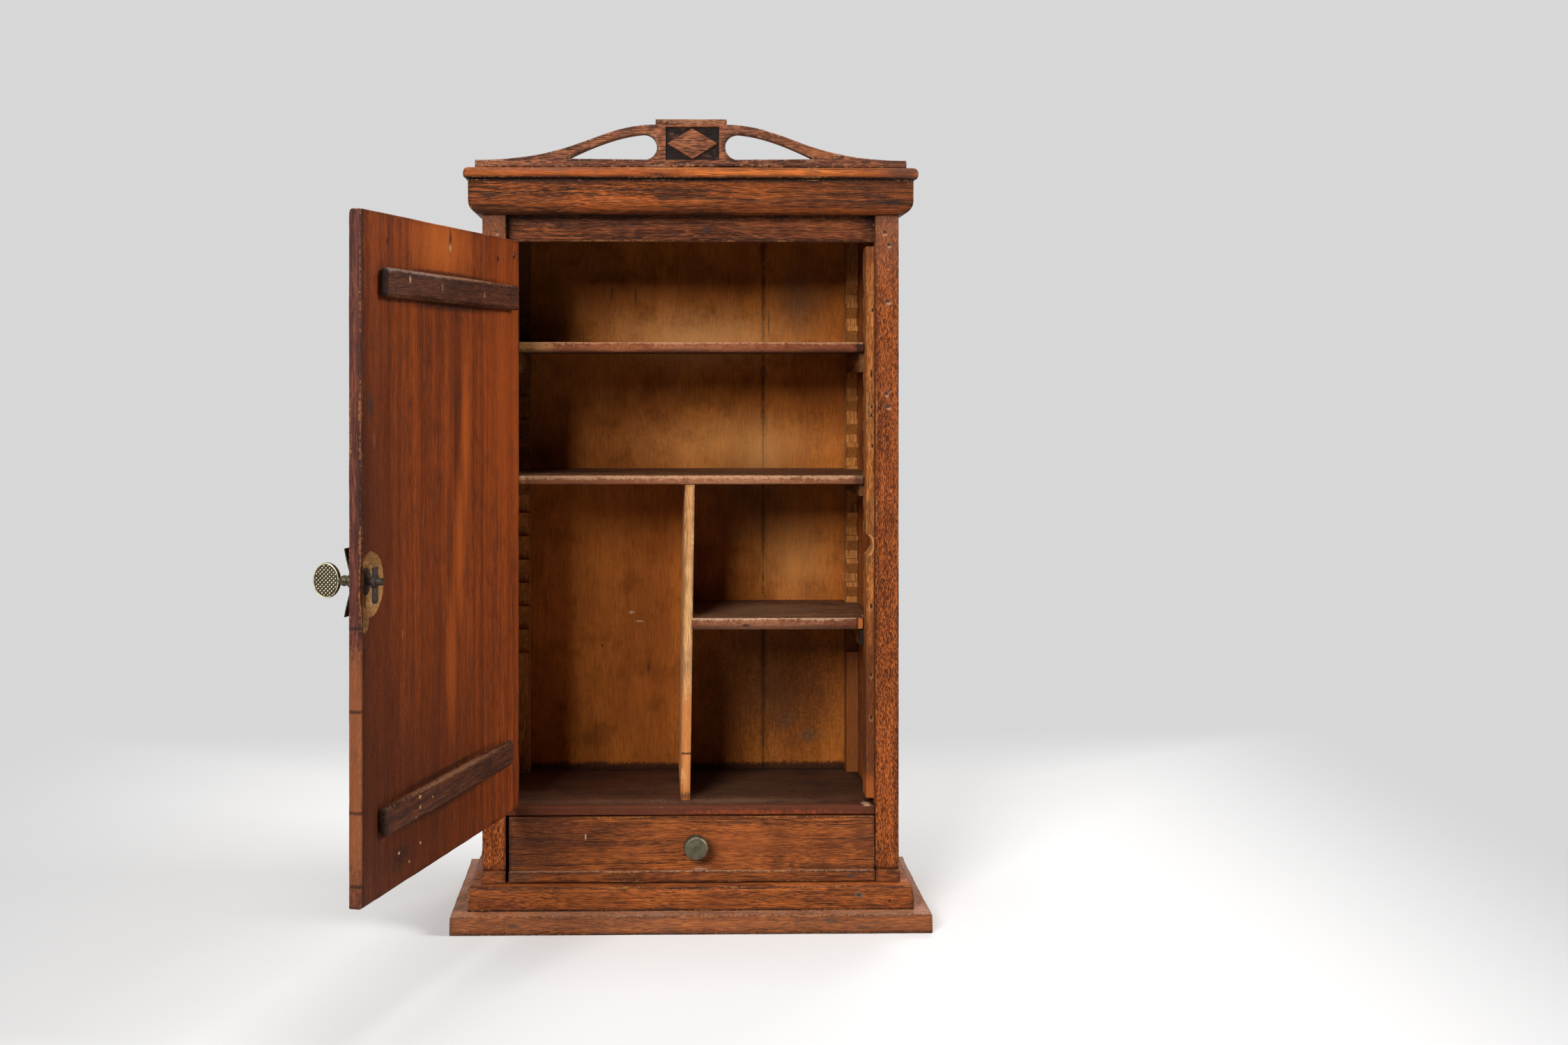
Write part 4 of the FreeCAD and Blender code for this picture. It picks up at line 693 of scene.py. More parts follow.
# Racks: softwood uprights in the four corners, sawn with saw-tooth notches that carry the loose bearers.
# The front pair stops the door; the right one is worm-eaten and gnawed round where the latch turns in.
NOTCHES = 203 + 20.5 * np.arange(16)
NOTCH_DEEP, NOTCH_BACK, NOTCH_MOUTH = 8., 7., 16.5
KEEP_X, KEEP_Z, KEEP_RADIUS = 138.7, 307.8, 10.3
RACK = dict(light=(206, 136, 66), dark=(176, 108, 48), line=(116, 66, 32), streak=(104, 60, 32),
            worn=(224, 174, 112), dirt_and_shade=(64, 42, 28), bare=(222, 160, 92), rough=(.55, .75), band=(.3, .006),
            groups=(.3, .006), margin=(1.2, .5))
STRIP_MARKS = [((147, 0, 170), (ANY, ANY, 95), (92, 44, 22), .8, .4, .4),
               ((147, 0, 545), (ANY, ANY, 14), (120, 66, 34), .7, .7, .2),
               ((147, 0, 106), (ANY, ANY, 17), (176, 94, 40), .7, .5, .4)]
STRIP_HOLES = ((148.6, 499.8, 2.6), (147.6, 447.7, 4.2), (147.9, 420.8, 2.4), (147.5, 414, 2.8),
               (148.4, 389, 2.6), (147.4, 258, 3), (147.4, 202, 2.6), (147.4, 167, 2.6))
for x, z, tall in STRIP_HOLES:
    STRIP_MARKS.append(((x, -56.5, z - 1), (2.6, 9, tall + 2), (214, 150, 92), .35, .8, .2))
    STRIP_MARKS.append(((x, -56.5, z), (1.4, 9, tall), (40, 24, 16), .95, .5, .4))


def saw_teeth(back_rack, gnawed):
    """Draw the notched face in by the depth of the saw-tooth at each height: level ledge, upright back,
    slope out. The gnawed bite moves the inner face out to a circle, x = middle + sqrt(r^2 - (z - zm)^2)."""
    def bend(p, q):
        """Move points by the height above the nearest ledge below, less towards the uncut face."""
        above = (q[:, 2][:, None] - NOTCHES)
        above = np.where((above >= -.001) & (above <= NOTCH_MOUTH), above, 99).min(1)
        deep = NOTCH_DEEP * np.clip((NOTCH_MOUTH - above) / (NOTCH_MOUTH - NOTCH_BACK), 0, 1)
        y0, y1 = q[:, 1].min(), q[:, 1].max()
        share = (p[:, 1] - y0) / (y1 - y0)
        p[:, 1] += deep * (1 - share) if back_rack else -deep * share
        if not gnawed:
            return p, {}
        uneven = .25 * smooth_noise(q, 2.6, 87)
        bite = KEEP_X + np.sqrt(np.maximum(KEEP_RADIUS**2 - (q[:, 2] - KEEP_Z)**2, 0)) + uneven - .2
        part = (q[:, 0] - q[:, 0].min()) / np.ptp(q[:, 0])
        wall = np.maximum(bite - q[:, 0].min(), 0)
        p[:, 0] += wall * (1 - part)
        return p, {"bare": fade(wall * (1 - part), .4, 1.2)}
    return bend


notch_cuts = np.concatenate([NOTCHES, NOTCHES - .02, NOTCHES + NOTCH_BACK, NOTCHES + NOTCH_MOUTH])
keep_cuts = np.concatenate([notch_cuts, np.linspace(296, 320, 70)])
# The second mark is a painted shadow of the open door, darkening the left racks beside the upper
# compartments.
RACK_MARKS = [((145, 75, 150), (30, ANY, 95), (118, 62, 24), .9, .3, .8),
              ((-145, 0, 540), (30, ANY, 180), (84, 48, 24), .7, .4, .6)]
pine_rack = old_wood("pine_rack", **RACK, marks=RACK_MARKS)
STRIP_PINE = dict(RACK, light=(204, 124, 58), dark=(164, 94, 43), bare=(206, 140, 80), wear=(.8, .25),
                  pepper=(.006, .0010, .5, .3))
pine_strip = old_wood("pine_strip", **STRIP_PINE, marks=STRIP_MARKS)
for name, right in (("left", False), ("right", True)):
    for place in ("front", "back"):
        node = f"rack_{place}_{name}"
        low, high = board_corners(node)
        gnawed = right and place == "front"
        form = worn_board(low, high, 2, radius=.5, seed=81 + 2 * right + (place == "back"), cell=3.,
                          extra=((), (), keep_cuts if gnawed else notch_cuts),
                          bend=saw_teeth(place == "back", gnawed), waver=.05)
        put_in(node + "_strip", form, pine_strip if gnawed else pine_rack, "cabinet", [node])


# Bearers: short loose softwood sticks cut to lie in the notches from front to back, under the ends of
# each shelf.
# Painted shade hides the front end of the small right bearer under its shelf.
BEARER_MARKS = [((145, -47, 229), (30, 20, 13), (24, 15, 10), .93, .2, .7)]
pine_bearer = old_wood("pine_bearer", light=(150, 96, 48), dark=(122, 74, 36), line=(84, 50, 28),
                       streak=(76, 48, 32), worn=(180, 130, 84), dirt_and_shade=(58, 38, 26), marks=BEARER_MARKS)
for node in ("bearer_small_right", "bearer_upper_left", "bearer_upper_right", "bearer_lower_left",
             "bearer_lower_right"):
    low, high = board_corners(node)
    form = worn_board(low, high, 1, radius=.5, seed=91, cell=3.)
    put_in(node + "_stick", form, pine_bearer, "cabinet", [node])


# Shelves: loose softwood boards notched at the corners to clear the racks, grey and dull on top, with a
# thin stained front edge whose arrises are rubbed pale; along the top one lies a painted highlight too.
SHELF = dict(light=(138, 92, 62), dark=(108, 68, 45), line=(66, 40, 28), streak=(58, 38, 28),
             worn=(208, 154, 102), dirt_and_shade=(50, 34, 26), rough=(.55, .75), wear=(1.2, .6), gloss=.12,
             pepper=(.006, .0010, .6, .35))
# Each shelf's pale line along the top front arris is wear with a painted highlight.
SHELF_MARKS = {
    "shelf_upper": [((0, -47, 0), (ANY, 3, ANY), (134, 70, 43), .8, .4, .4),
                    ((-130, -47, 0), (26, 5, ANY), (206, 150, 90), .75, .9, .3),
                    ((139, -47, 0), (6, 6, ANY), (38, 26, 22), .85, .5, .3),
                    ((30, -47, 0), (80, 4, ANY), (176, 112, 78), .5, 1.2, 0.),
                    ((-60, -47, 0), (60, 4, ANY), (176, 112, 70), .5, 1.2, 0.),
                    ((0, -47, 466.5), (ANY, 4, 2.6), (58, 32, 23), .65, 1.1, .1),
                    ((0, -47, 473.5), (ANY, 6, 1.7), (212, 158, 116), .6, 1.2, .1)],
    "shelf_lower": [((0, -47, 0), (ANY, 3, ANY), (140, 84, 56), .8, .4, .4),
                    ((0, -47, 363), (ANY, 6, 2.4), (220, 176, 136), .6, 1.2, .1),
                    ((35, -47, 0), (100, 4, ANY), (200, 142, 104), .4, 1.2, 0.),
                    ((0, -47, 356), (ANY, 4, 2.6), (70, 40, 28), .6, 1.1, .1),
                    ((139, -47, 0), (7, 6, ANY), (60, 40, 30), .7, .5, .3)],
    "shelf_small": [((0, -47, 0), (ANY, 3, ANY), (118, 64, 41), .8, .4, .4),
                    ((70, 10, 260), (90, 70, ANY), (160, 122, 92), .5, .7, 0.),
                    ((60, -47, 0), (70, 5, ANY), (190, 132, 96), .4, 1.2, 0.),
                    ((70, -46, 247), (ANY, 3, 2.4), (220, 180, 146), .6, 1.2, .1),
                    ((46, -47, 241), (5, 4, 2), (40, 26, 20), .85, .6, .3),
                    ((70, -47, 239), (ANY, 4, 2.8), (56, 34, 25), .65, 1.1, .1),
                    ((139.8, -43, 242), (3.4, 3, 6), (190, 108, 48), .9, .4, .6)]}
SHELF_STEPS, SHELF_NICK, NICK_END = (-30.9, 60.9), -43., 142.2


def notched_ends(front, middle, back, left=True):
    """Draw the ends of a shelf in, front and back, to clear the racks. A shorter front is only a nick."""
    def bend(p, q):
        """Move points near the ends by the step between the middle's reach and theirs."""
        y = q[:, 1]
        before = np.where(y < SHELF_NICK, front, max(front, NICK_END))
        reach = np.where(y < SHELF_STEPS[0], before, np.where(y < SHELF_STEPS[1], middle, back))
        p[:, 0] -= (middle - reach) * fade(q[:, 0], 110, 130)
        if left:
            p[:, 0] += (middle - reach) * fade(q[:, 0], -110, -130)
        return p, {}
    return bend


step_cuts = [y + d for y in (SHELF_NICK, *SHELF_STEPS) for d in (-.02, .02)]
for node, ends, left in (("shelf_upper", (142.7, 149.3, 138.9), True),
                         ("shelf_lower", (142.7, 149.3, 138.9), True),
                         ("shelf_small", (137., 149.3, 138.9), False)):
    low, high = board_corners(node)
    form = worn_board(low, high, 0, radius=1.2, seed=95 + len(node), cell=3.5, extra=((), step_cuts, ()),
                      bend=notched_ends(*ends, left))
    shelf_wood = old_wood(node + "_wood", **SHELF, marks=SHELF_MARKS[node])
    put_in(node + "_board", form, shelf_wood, "cabinet", [node])


# Divider: an upright softwood board, loose between the floor board and the lower shelf and leaning a
# little. Its front edge is bare and pale.
DIVIDER_LOW, DIVIDER_HIGH = (-8.2, -46.5, FLOOR_TOP), (-.2, BACK_INSIDE, 356.9)
DIVIDER_LEAN = 3.7 / 259.9
DIVIDER_MARKS = on_face(-47, 9, [
    (0, 110, ANY, 95, (204, 118, 54), .7, .4, .6), (0, 136, ANY, 1.4, (60, 36, 24), .85, .5, .3),
    (0, 101, ANY, 5, (64, 38, 24), .7, .6, .2), (-6, 118, 3, 8, (230, 166, 106), .7, .7, .3)])
pine_divider = old_wood("pine_divider", light=(250, 193, 131), dark=(232, 168, 106), line=(178, 118, 68),
                        streak=(156, 102, 58), worn=(244, 204, 152), dirt_and_shade=(92, 60, 38), rough=(.55, .75),
                        gloss=.1, marks=DIVIDER_MARKS)


def leaning(p, q):
    """Lean to the right in proportion to the height above the foot."""
    p[:, 0] += (q[:, 2] - DIVIDER_LOW[2]) * DIVIDER_LEAN
    return p, {}


form = worn_board(DIVIDER_LOW, DIVIDER_HIGH, 2, radius=.8, seed=99, cell=4., bend=leaning)
put_in("divider_board", form, pine_divider, "cabinet", ["divider"])


# Door: one wide softwood board stained red-brown, with a thin strip glued along its free edge and two
# chamfered battens nailed across the inside. It is drawn shut and swung open on its hinges. A raw hollow
# is gouged round the latch.
HINGE_X, HINGE_Y, OPEN = -149.6, -68.7, math.radians(-106)
DOOR_LEFT, STRIP_JOINT, DOOR_RIGHT = -149.2, 144.4, 148.4
DOOR_FOOT, DOOR_TOP, DOOR_INSIDE, BATTEN_FACE = 98, 554.8, -57., -50
SCOOP_MIDDLE, SCOOP_MOUTH, SCOOP_FLOOR, SCOOP_DEEP = (132.4, 308.4), (21., 22.), (12.5, 15.), 4.5
HOLE, PAINT_SPECK, FLAKE = (30, 18, 13), (206, 170, 96), (208, 172, 130)
DOOR_MARKS = on_face(DOOR_INSIDE, 20, [
    (10, 540, 80, 45, (214, 112, 44), .6, .3, 0.), (-115, 440, 60, 200, (176, 82, 30), .5, .3, 0.),
    (150, 330, 100, 290, (62, 28, 17), .85, .3, 0.), (130, 150, 90, 170, (48, 25, 18), .55, .4, 0.),
    (40, 130, 190, 170, (66, 29, 16), .72, .4, 0.), (-15, 400, 9, 80, (66, 32, 18), .5, .3, .1),
    (-2, 322, 10, 80, (66, 32, 18), .5, .3, .1), (13, 238, 11, 80, (62, 30, 18), .45, .3, .1),
    (-34, 405, 11, 90, (190, 94, 36), .6, .25, .1), (-22, 322, 12, 80, (190, 94, 36), .6, .25, .1),
    (-7, 238, 15, 75, (178, 86, 34), .5, .3, .1)])
# The first four rows are dark lines along the lower and upper edges of the battens: painted shadow, partly
# dirt.
DOOR_MARKS += on_face(DOOR_INSIDE, 6, [
    (-6, 496, 134, 5, (32, 18, 13), .75, .5, .2), (-6, 519.5, 130, 2.6, (40, 24, 17), .75, .6, .2),
    (1, 137, 127, 6, (32, 18, 13), .7, .6, .2), (1, 160.5, 123, 3, (40, 24, 17), .75, .6, .2),
    (-4.4, 543, 3.4, 13, (52, 34, 26), .85, .6, .3), (-4.4, 539, 2.8, 5, FLAKE, .85, 1., .2),
    (106, 536, 2.2, 2.8, HOLE, .9, .5, .3), (-101.4, 537.3, 2.8, 3.2, HOLE, .85, .5, .3),
    (-137.4, 542.3, 3.6, 3.8, HOLE, .9, .5, .4), (-136.5, 543, 1.2, 1.4, FLAKE, .7, .4, .3),
    (133, 426, 8, 12, (58, 47, 42), .7, .6, .1), (127, 403, 3, 7, (150, 98, 88), .35, .8, .1),
    (86, 117, 26, 13, (38, 25, 18), .65, .8, .1), (50.7, 118.3, 2, 1.4, PAINT_SPECK, .9, .7, .3),
    (87, 120, 2.4, 1.2, PAINT_SPECK, .9, .7, .3), (70, 110, 1.5, 1.5, PAINT_SPECK, .8, .7, .3),
    (81, 268, .9, 5, (190, 120, 80), .6, .6, .2)])
# A thin painted highlight runs along the hinge arris of the door; a painted shadow, partly dirt, darkens the
# floor of the latch hollow.
DOOR_MARKS += [((DOOR_LEFT, DOOR_INSIDE, 182), (1., 1.5, 19), (226, 190, 150), .8, .3, .3),
               ((131, -61, 314), (9, 6, 11), (44, 25, 15), .85, .5, .2),
               ((136, -61, 297), (8, 6, 9), (112, 66, 36), .6, .6, .1)]
door_wood = old_wood("door_wood", light=(154, 72, 29), dark=(116, 51, 21), line=(72, 32, 16),
                     streak=(60, 28, 16), worn=(176, 104, 58), dirt_and_shade=(30, 17, 13), bare=(255, 186, 112),
                     band=(.7, .011), dashes=(.3, .0013, .45, .58, .5), groups=(.6, .015),
                     flame=(.25, .004, .53, .72, .28), pepper=(.014, .0010, .4, .18), stain=(.028, .32),
                     gloss=.1, marks=DOOR_MARKS)
# The second mark is a painted highlight along the strip's arris at the joint.
STRIP_EDGE_MARKS = [((146, -60, 190), (ANY, ANY, 92), (158, 92, 52), .6, .4, .6),
                    ((144.6, -57, 420), (.9, 4, 140), (190, 122, 72), .75, .7, .2)]
STRIP_EDGE_MARKS += [((146, -60, z), (ANY, ANY, 1.7), (36, 24, 20), .75, .7, .2)
                     for z in (281, 226.6, 160.6, 112.8)]
strip_wood = old_wood("strip_wood", light=(134, 72, 52), dark=(94, 50, 42), line=(58, 32, 28),
                      streak=(46, 28, 26), worn=(180, 112, 66), dirt_and_shade=(36, 25, 23), wear=(1., .5),
                      marks=STRIP_EDGE_MARKS)
BATTEN = dict(light=(108, 62, 44), dark=(76, 43, 32), line=(50, 30, 24), streak=(40, 26, 22),
              worn=(168, 116, 78), dirt_and_shade=(30, 21, 18), wear=(1.6, .3), gloss=.08)
upper_batten_wood = old_wood("upper_batten_wood", **BATTEN, marks=[
    ((122, -54, 508), (4.5, ANY, ANY), (24, 18, 16), .85, .5, .4),
    ((0, -51, 517), (118, 9, 2), (158, 112, 82), .5, .8, .2)] + on_face(BATTEN_FACE, 9, [
        (84, 511.7, 2.2, 3.6, (206, 166, 136), .85, .6, .3),
        (27, 508.7, 2.2, 4.5, (150, 112, 92), .6, .8, .2),
        (-55, 507, 1.4, 3.5, (180, 130, 100), .7, .6, .3)]))
lower_batten_wood = old_wood("lower_batten_wood", **BATTEN, marks=[
    ((122, -54, 149), (4.5, ANY, ANY), (24, 18, 16), .8, .5, .4),
    ((0, -51, 158), (118, 9, 1.8), (150, 104, 74), .6, .8, .2)] + on_face(BATTEN_FACE, 9, [
        (67, 154.6, 2.4, 1.4, PAINT_SPECK, .9, .6, .3), (45, 149.7, 1.6, 1.2, PAINT_SPECK, .85, .6, .3),
        (67, 147.3, 1.5, 1.8, PAINT_SPECK, .85, .6, .3), (74, 141, 2.2, 1.3, PAINT_SPECK, .85, .6, .3)]))


def swung(p):
    """Points of the shut door turned about the hinge pin to where it stands open."""
    x, y = p[:, 0] - HINGE_X, p[:, 1] - HINGE_Y
    c, s = math.cos(OPEN), math.sin(OPEN)
    return np.column_stack([HINGE_X + c * x - s * y, HINGE_Y + s * x + c * y, p[:, 2]])


def latch_hollow(p, q):
    """Sink the inside face between an uneven oval mouth and a smaller oval floor, with the facets of a
    gouge in it, and a shallow tail below."""
    dx, dz = q[:, 0] - SCOOP_MIDDLE[0], q[:, 2] - SCOOP_MIDDLE[1]
    mouth = 1 - np.hypot(dx / SCOOP_MOUTH[0], dz / SCOOP_MOUTH[1]) + .035 * smooth_noise(q, 3.1, 111)
    floor = np.maximum(np.hypot(dx / SCOOP_FLOOR[0], dz / SCOOP_FLOOR[1]) - 1, 0)
    deep = np.clip(mouth, 0, None) / (np.clip(mouth, 0, None) + floor + 1e-9)
    tail = np.clip(1 - np.hypot((q[:, 0] - 141) / 7, (q[:, 2] - 285) / 9), 0, 1)
    inside = q[:, 1] > DOOR_INSIDE - .01
    cut = np.maximum(SCOOP_DEEP * deep * (.9 + .1 * smooth_noise(q, 5, 112)), 1.2 * tail) * inside
    p[:, 1] -= cut
    return p, {"bare": fade(cut, .05, .3)}


def door_bend(p, q):
    """The hollow round the latch, then the mortises for the hinge leaves in the other edge."""
    p, more = latch_hollow(p, q)
    return hinge_mortise(DOOR_LEFT, 1)(p, q)[0], more


hollow_cuts = np.linspace(275, 332, 114)
door_cuts = (np.linspace(110, STRIP_JOINT, 70), (), np.concatenate([hollow_cuts, hinge_cuts]))
strip_cuts = (np.linspace(STRIP_JOINT, DOOR_RIGHT, 9), (), hollow_cuts)


def strip_edge(q):
    """Edge radius that doubles at the upper corner, where the hand pulls."""
    return .9 + 1. * fade(q[:, 2], DOOR_TOP - 3.8, DOOR_TOP - .8)


batten = dict(radius=2.4, cell=3.5, chamfer=True)
for name, low, high, material, slot, shape in (
        ("door_board", (DOOR_LEFT, FRONT_Y, DOOR_FOOT), (STRIP_JOINT, DOOR_INSIDE, DOOR_TOP), door_wood,
         "door_wood", dict(radius=.9, cell=4.6, bend=door_bend, extra=door_cuts)),
        ("door_edge_strip", (STRIP_JOINT, FRONT_Y, DOOR_FOOT), (DOOR_RIGHT, DOOR_INSIDE, DOOR_TOP),
         strip_wood, "door_wood",
         dict(radius=1.9, cell=3.5, edge_radius=strip_edge, bend=latch_hollow, extra=strip_cuts)),
        ("door_batten_lower", (-119.6, DOOR_INSIDE, 139), (121.4, BATTEN_FACE, 159), lower_batten_wood,
         "batten_wood", batten),
        ("door_batten_upper", (-132.7, DOOR_INSIDE, 498), (121.4, BATTEN_FACE, 518), upper_batten_wood,
         "batten_wood", batten)):
    form = worn_board(low, high, 0 if shape is batten else 2, seed=101 + len(name) + int(low[2]), **shape)
    form["points"] = swung(form["points"])
    put_in(name + "_wood", form, material, "door", [name])


# Latch: a brass thumb turn on the outside, a flat oval with a studded face and a plain rim on a turned
# neck, over a thin brass plate whose ends lift off the board. An iron spindle goes through the door to
# an iron lever in the hollow.
LATCH_X, LATCH_Z = 131.4, 310.
DISC_OUT, DISC_HALF, DISC_THICK = 23.5, (9.5, 11.75), 4.4
STUD_PITCH, STUD_HIGH = 1.95, .5
NECK = ((4.4, 1.2), (4.6, 2.4), (4.6, 6.6), (3.6, 8.2), (3.3, 9.4), (3.7, 10.6), (3.4, 12.2), (2.5, 13.4),
        (2.2, 15.4))
PLATE_HALF, PLATE_FLAT, PLATE_FLARE, PLATE_THICK, PLATE_HOLE = (12., 22.5), 5.5, 4.8, .8, 4.9


def old_metal(name, clean, tarnish, spots, metallic, rough, pits=.12):
    """Old metal: tarnish all over in two soft tones, cleaner where the mesh is marked rubbed, with small
    spots of corrosion that are duller, and fine pits sunk by some tenths of a millimetre."""
    material, start = new_finish(name)
    shader = start.socket.node
    place = start.make("ShaderNodeTexCoord", {}, out="Object")

    def noise(size, detail):
        """Noise with cells of a size in millimetres."""
        return start.make("ShaderNodeTexNoise", {"Vector": place, "Scale": 1000 / size, "Detail": detail})

    rubbed = start.make("ShaderNodeAttribute", {}, out="Fac", attribute_name="rubbed")
    soft, grains, fine = noise(6., 4.), noise(2.2, 3.), noise(.5, 2.)
    paint = soft.between(.35, .65).blend(colour(*(.78 * c for c in tarnish)), colour(*tarnish))
    paint = (rubbed * (.4 + 1.2 * grains)).between(.25, .85).blend(paint, colour(*clean))
    spot = grains.between(.60, .68)
    paint = spot.blend(paint, colour(*spots))
    shine = rough[0] + (rough[1] - rough[0]) * soft.between(.4, .65).most(spot)
    height = fine * .5 - grains.between(.58, .7)
    normal = height.make("ShaderNodeBump", {"Height": height, "Distance": pits / 1000, "Strength": 1.})
    dull = metallic * (1 - .6 * spot)
    for key, signal in (("Base Color", paint), ("Roughness", shine), ("Metallic", dull), ("Normal", normal)):
        start.socket.id_data.links.new(signal.socket, shader.inputs[key])
    return material


def smooth_line(points, count):
    """Curve through points: between each two, a cubic whose slopes are taken from the neighbours."""
    points = np.array(points, float)
    slope = np.gradient(points, axis=0)
    t = np.linspace(0, len(points) - 1, count)
    i = np.minimum(t.astype(int), len(points) - 2)
    u = (t - i)[:, None]
    return ((1 + 2 * u) * (1 - u)**2 * points[i] + u * (1 - u)**2 * slope[i]
            + u**2 * (3 - 2 * u) * points[i + 1] + u**2 * (u - 1) * slope[i + 1])


def turned(profile, around=56):
    """Profile of radius and height carried round an axis; both ends are closed by a fan on the axis."""
    r, h = np.array(profile).T
    angle = np.linspace(0, 2 * math.pi, around, endpoint=False)
    p = np.stack([np.outer(r, np.cos(angle)), np.outer(r, np.sin(angle)),
                  np.repeat(h[:, None], around, 1)], -1)
    return np.concatenate([p.reshape(-1, 3), [(0, 0, h[0]), (0, 0, h[-1])]]), tube(len(r), around)


def oval(half, count):
    """Ellipse with the given half width and half height."""
    t = np.linspace(0, 2 * math.pi, count, endpoint=False)
    return np.column_stack([half[0] * np.cos(t), half[1] * np.sin(t)])


def studded(place, off):
    """Half thickness of the thumb turn: a rounded rim, then a sunk ground with studs on a lattice set
    diagonally, each the square of two crossed cosines."""
    rim = .7
    lattice = np.abs(np.cos(math.pi * (place[:, 0] + place[:, 1]) / (1.414 * STUD_PITCH))
                     * np.cos(math.pi * (place[:, 0] - place[:, 1]) / (1.414 * STUD_PITCH)))**2
    ground = fade(off, rim, rim + .5)
    round_rim = np.sqrt(np.maximum(1 - (1 - np.minimum(off / .8, 1))**2, 0))
    studs = STUD_HIGH * lattice * fade(off, rim + .3, rim + .9)
    return DISC_THICK / 2 * (.45 + .55 * round_rim) - ground * (.55 - studs)


def latch_form(points, faces, rubbed):
    """Mesh drawn shut on the latch's middle, as (along the door, out of the front, up), swung open."""
    p = np.column_stack([LATCH_X + points[:, 0], FRONT_Y - points[:, 1], LATCH_Z + points[:, 2]])
    return {"points": swung(p), "faces": faces, "values": {"rubbed": rubbed}}


brass = old_metal("old_brass", (226, 214, 176), (64, 56, 40), (50, 48, 36), .85, (.34, .55), .06)
iron = old_metal("rusty_iron", (150, 136, 122), (62, 52, 44), (84, 52, 34), .55, (.5, .75), .15)
grid = np.linspace(-1, 1, 110)
flat, depth, faces, edge = cut_sheet(grid * DISC_HALF[0], grid * DISC_HALF[1], [oval(DISC_HALF, 120)],
                                     lambda place, off: -studded(place, off), studded, 3)
disc = np.column_stack([depth, DISC_OUT + flat[:, 0], flat[:, 1]])
neck, neck_faces = turned(smooth_line(NECK, 50))
stud_rubbed = np.maximum(fade(np.abs(depth), 1.75, 2.08), .5 * fade(edge, .7, .2))
rubbed = np.concatenate([stud_rubbed, np.full(len(neck), .35)])
faces = faces + [f + len(disc) for f in neck_faces]
form = latch_form(np.concatenate([disc, neck[:, [0, 2, 1]]]), faces, rubbed)
put_in("thumb_turn_brass", form, brass, "latch", ["thumb_turn"])


def lift(z):
    """How far the plate stands off the board: none near the neck, then a bow to the sprung ends."""
    return PLATE_FLARE * np.clip((np.abs(z) - PLATE_FLAT) / (PLATE_HALF[1] - PLATE_FLAT), 0, 1)**.7


square_end = np.array([(-1, -1), (1, -1), (1, 1), (-1, 1)]) * PLATE_HALF
flat, depth, faces, edge = cut_sheet(grid * PLATE_HALF[0], grid * PLATE_HALF[1],
                                     [square_end, oval((PLATE_HOLE, PLATE_HOLE), 60)],
                                     lambda place, off: lift(place[:, 1]) + PLATE_THICK,
                                     lambda place, off: lift(place[:, 1]), 1)
plate = np.column_stack([flat[:, 0], depth, flat[:, 1]])
form = latch_form(plate, faces, .3 * fade(edge, 1.5, .2))
put_in("escutcheon_brass", form, brass, "door", ["escutcheon"])


# Small metalwork, left in its CAD shape: brass butt hinges with their pins and screws, iron nails in the
# stiles and battens, the iron spindle, lever and plate of the latch.
for nodes, metal in (
        (("hinge_lower_frame_leaf", "hinge_upper_frame_leaf", "hinge_lower_door_leaf",
          "hinge_upper_door_leaf", "hinge_pins"), brass),
        (("hinge_frame_screws", "hinge_door_screws", "stile_nails_left", "stile_nails_right", "batten_nails",
          "latch_spindle", "latch_lever", "latch_plate", "knob_stud", "knob_nut"), iron)):
    for node in nodes:
        for holder in bpy.data.objects[node].material_slots:
            holder.material = metal


# Drawer: an oak front with a rounded bead along its foot, thin softwood sides, back and bottom, and a
# turned brass knob held by a stud and a square nut.
FRONT_MARKS = on_face(0, ANY, [
    (-85.4, 72.4, .9, 3.4, (238, 200, 160), .9, .4, .3), (-143, 52, 18, 5, (50, 38, 32), .6, .5, .1),
    (143, 66, 16, 30, (74, 40, 28), .5, .4, 0.), (-128, 66, 60, 40, (60, 32, 22), .6, .5, 0.),
    (45, 67, 70, 18, (192, 102, 46), .4, .5, 0.), (8, 46, 10, 3, DUST, .5, 1., .1)])
LIP_MARKS = on_face(0, ANY, [
    (0, 46, ANY, 1.5, DUST, .5, .9, .2), (130, 41, 6, 2.6, (72, 60, 50), .8, .5, .2),
    (-143, 41, 22, 7, (58, 46, 40), .6, .6, .1)])
oak_drawer = old_wood("oak_drawer", **OAK, marks=FRONT_MARKS)
oak_lip = old_wood("oak_lip", **OAK, marks=LIP_MARKS)
drawer_pine = old_wood("drawer_pine", **PINE, band=(.4, .01))
for node, along, radius, material, slot in (
        ("drawer_front", 0, .9, oak_drawer, "stained_wood"), ("drawer_lip", 0, 1.4, oak_lip, "stained_wood"),
        ("drawer_side_left", 1, .7, drawer_pine, "drawer_pine"),
        ("drawer_side_right", 1, .7, drawer_pine, "drawer_pine"),
        ("drawer_back", 0, .7, drawer_pine, "drawer_pine"),
        ("drawer_bottom", 0, .4, drawer_pine, "drawer_pine")):
    low, high = board_corners(node)
    form = worn_board(low, high, along, radius=radius, seed=120 + len(node), cell=3.)
    put_in(node + "_board", form, material, "drawer", [node])
KNOB_X, KNOB_Z, KNOB_Y = 3.7, 67., -65.
KNOB = ((7, 0), (7, .9), (6.4, 1.4), (4.6, 3), (4.2, 4.6), (4.8, 6.4), (6.4, 8.2), (8.6, 10), (9.7, 12),
        (10, 14), (9.85, 16), (9.4, 17.4), (8.9, 18.3), (8.3, 18.8), (7.6, 18.95), (6.6, 19.05),
        (4, 19.25), (1, 19.3))
shape, faces = turned(smooth_line(KNOB, 110), 64)
rubbed = .55 * fade(np.hypot(shape[:, 0], shape[:, 1]), 7.4, 8.8) * fade(shape[:, 2], 16, 18)
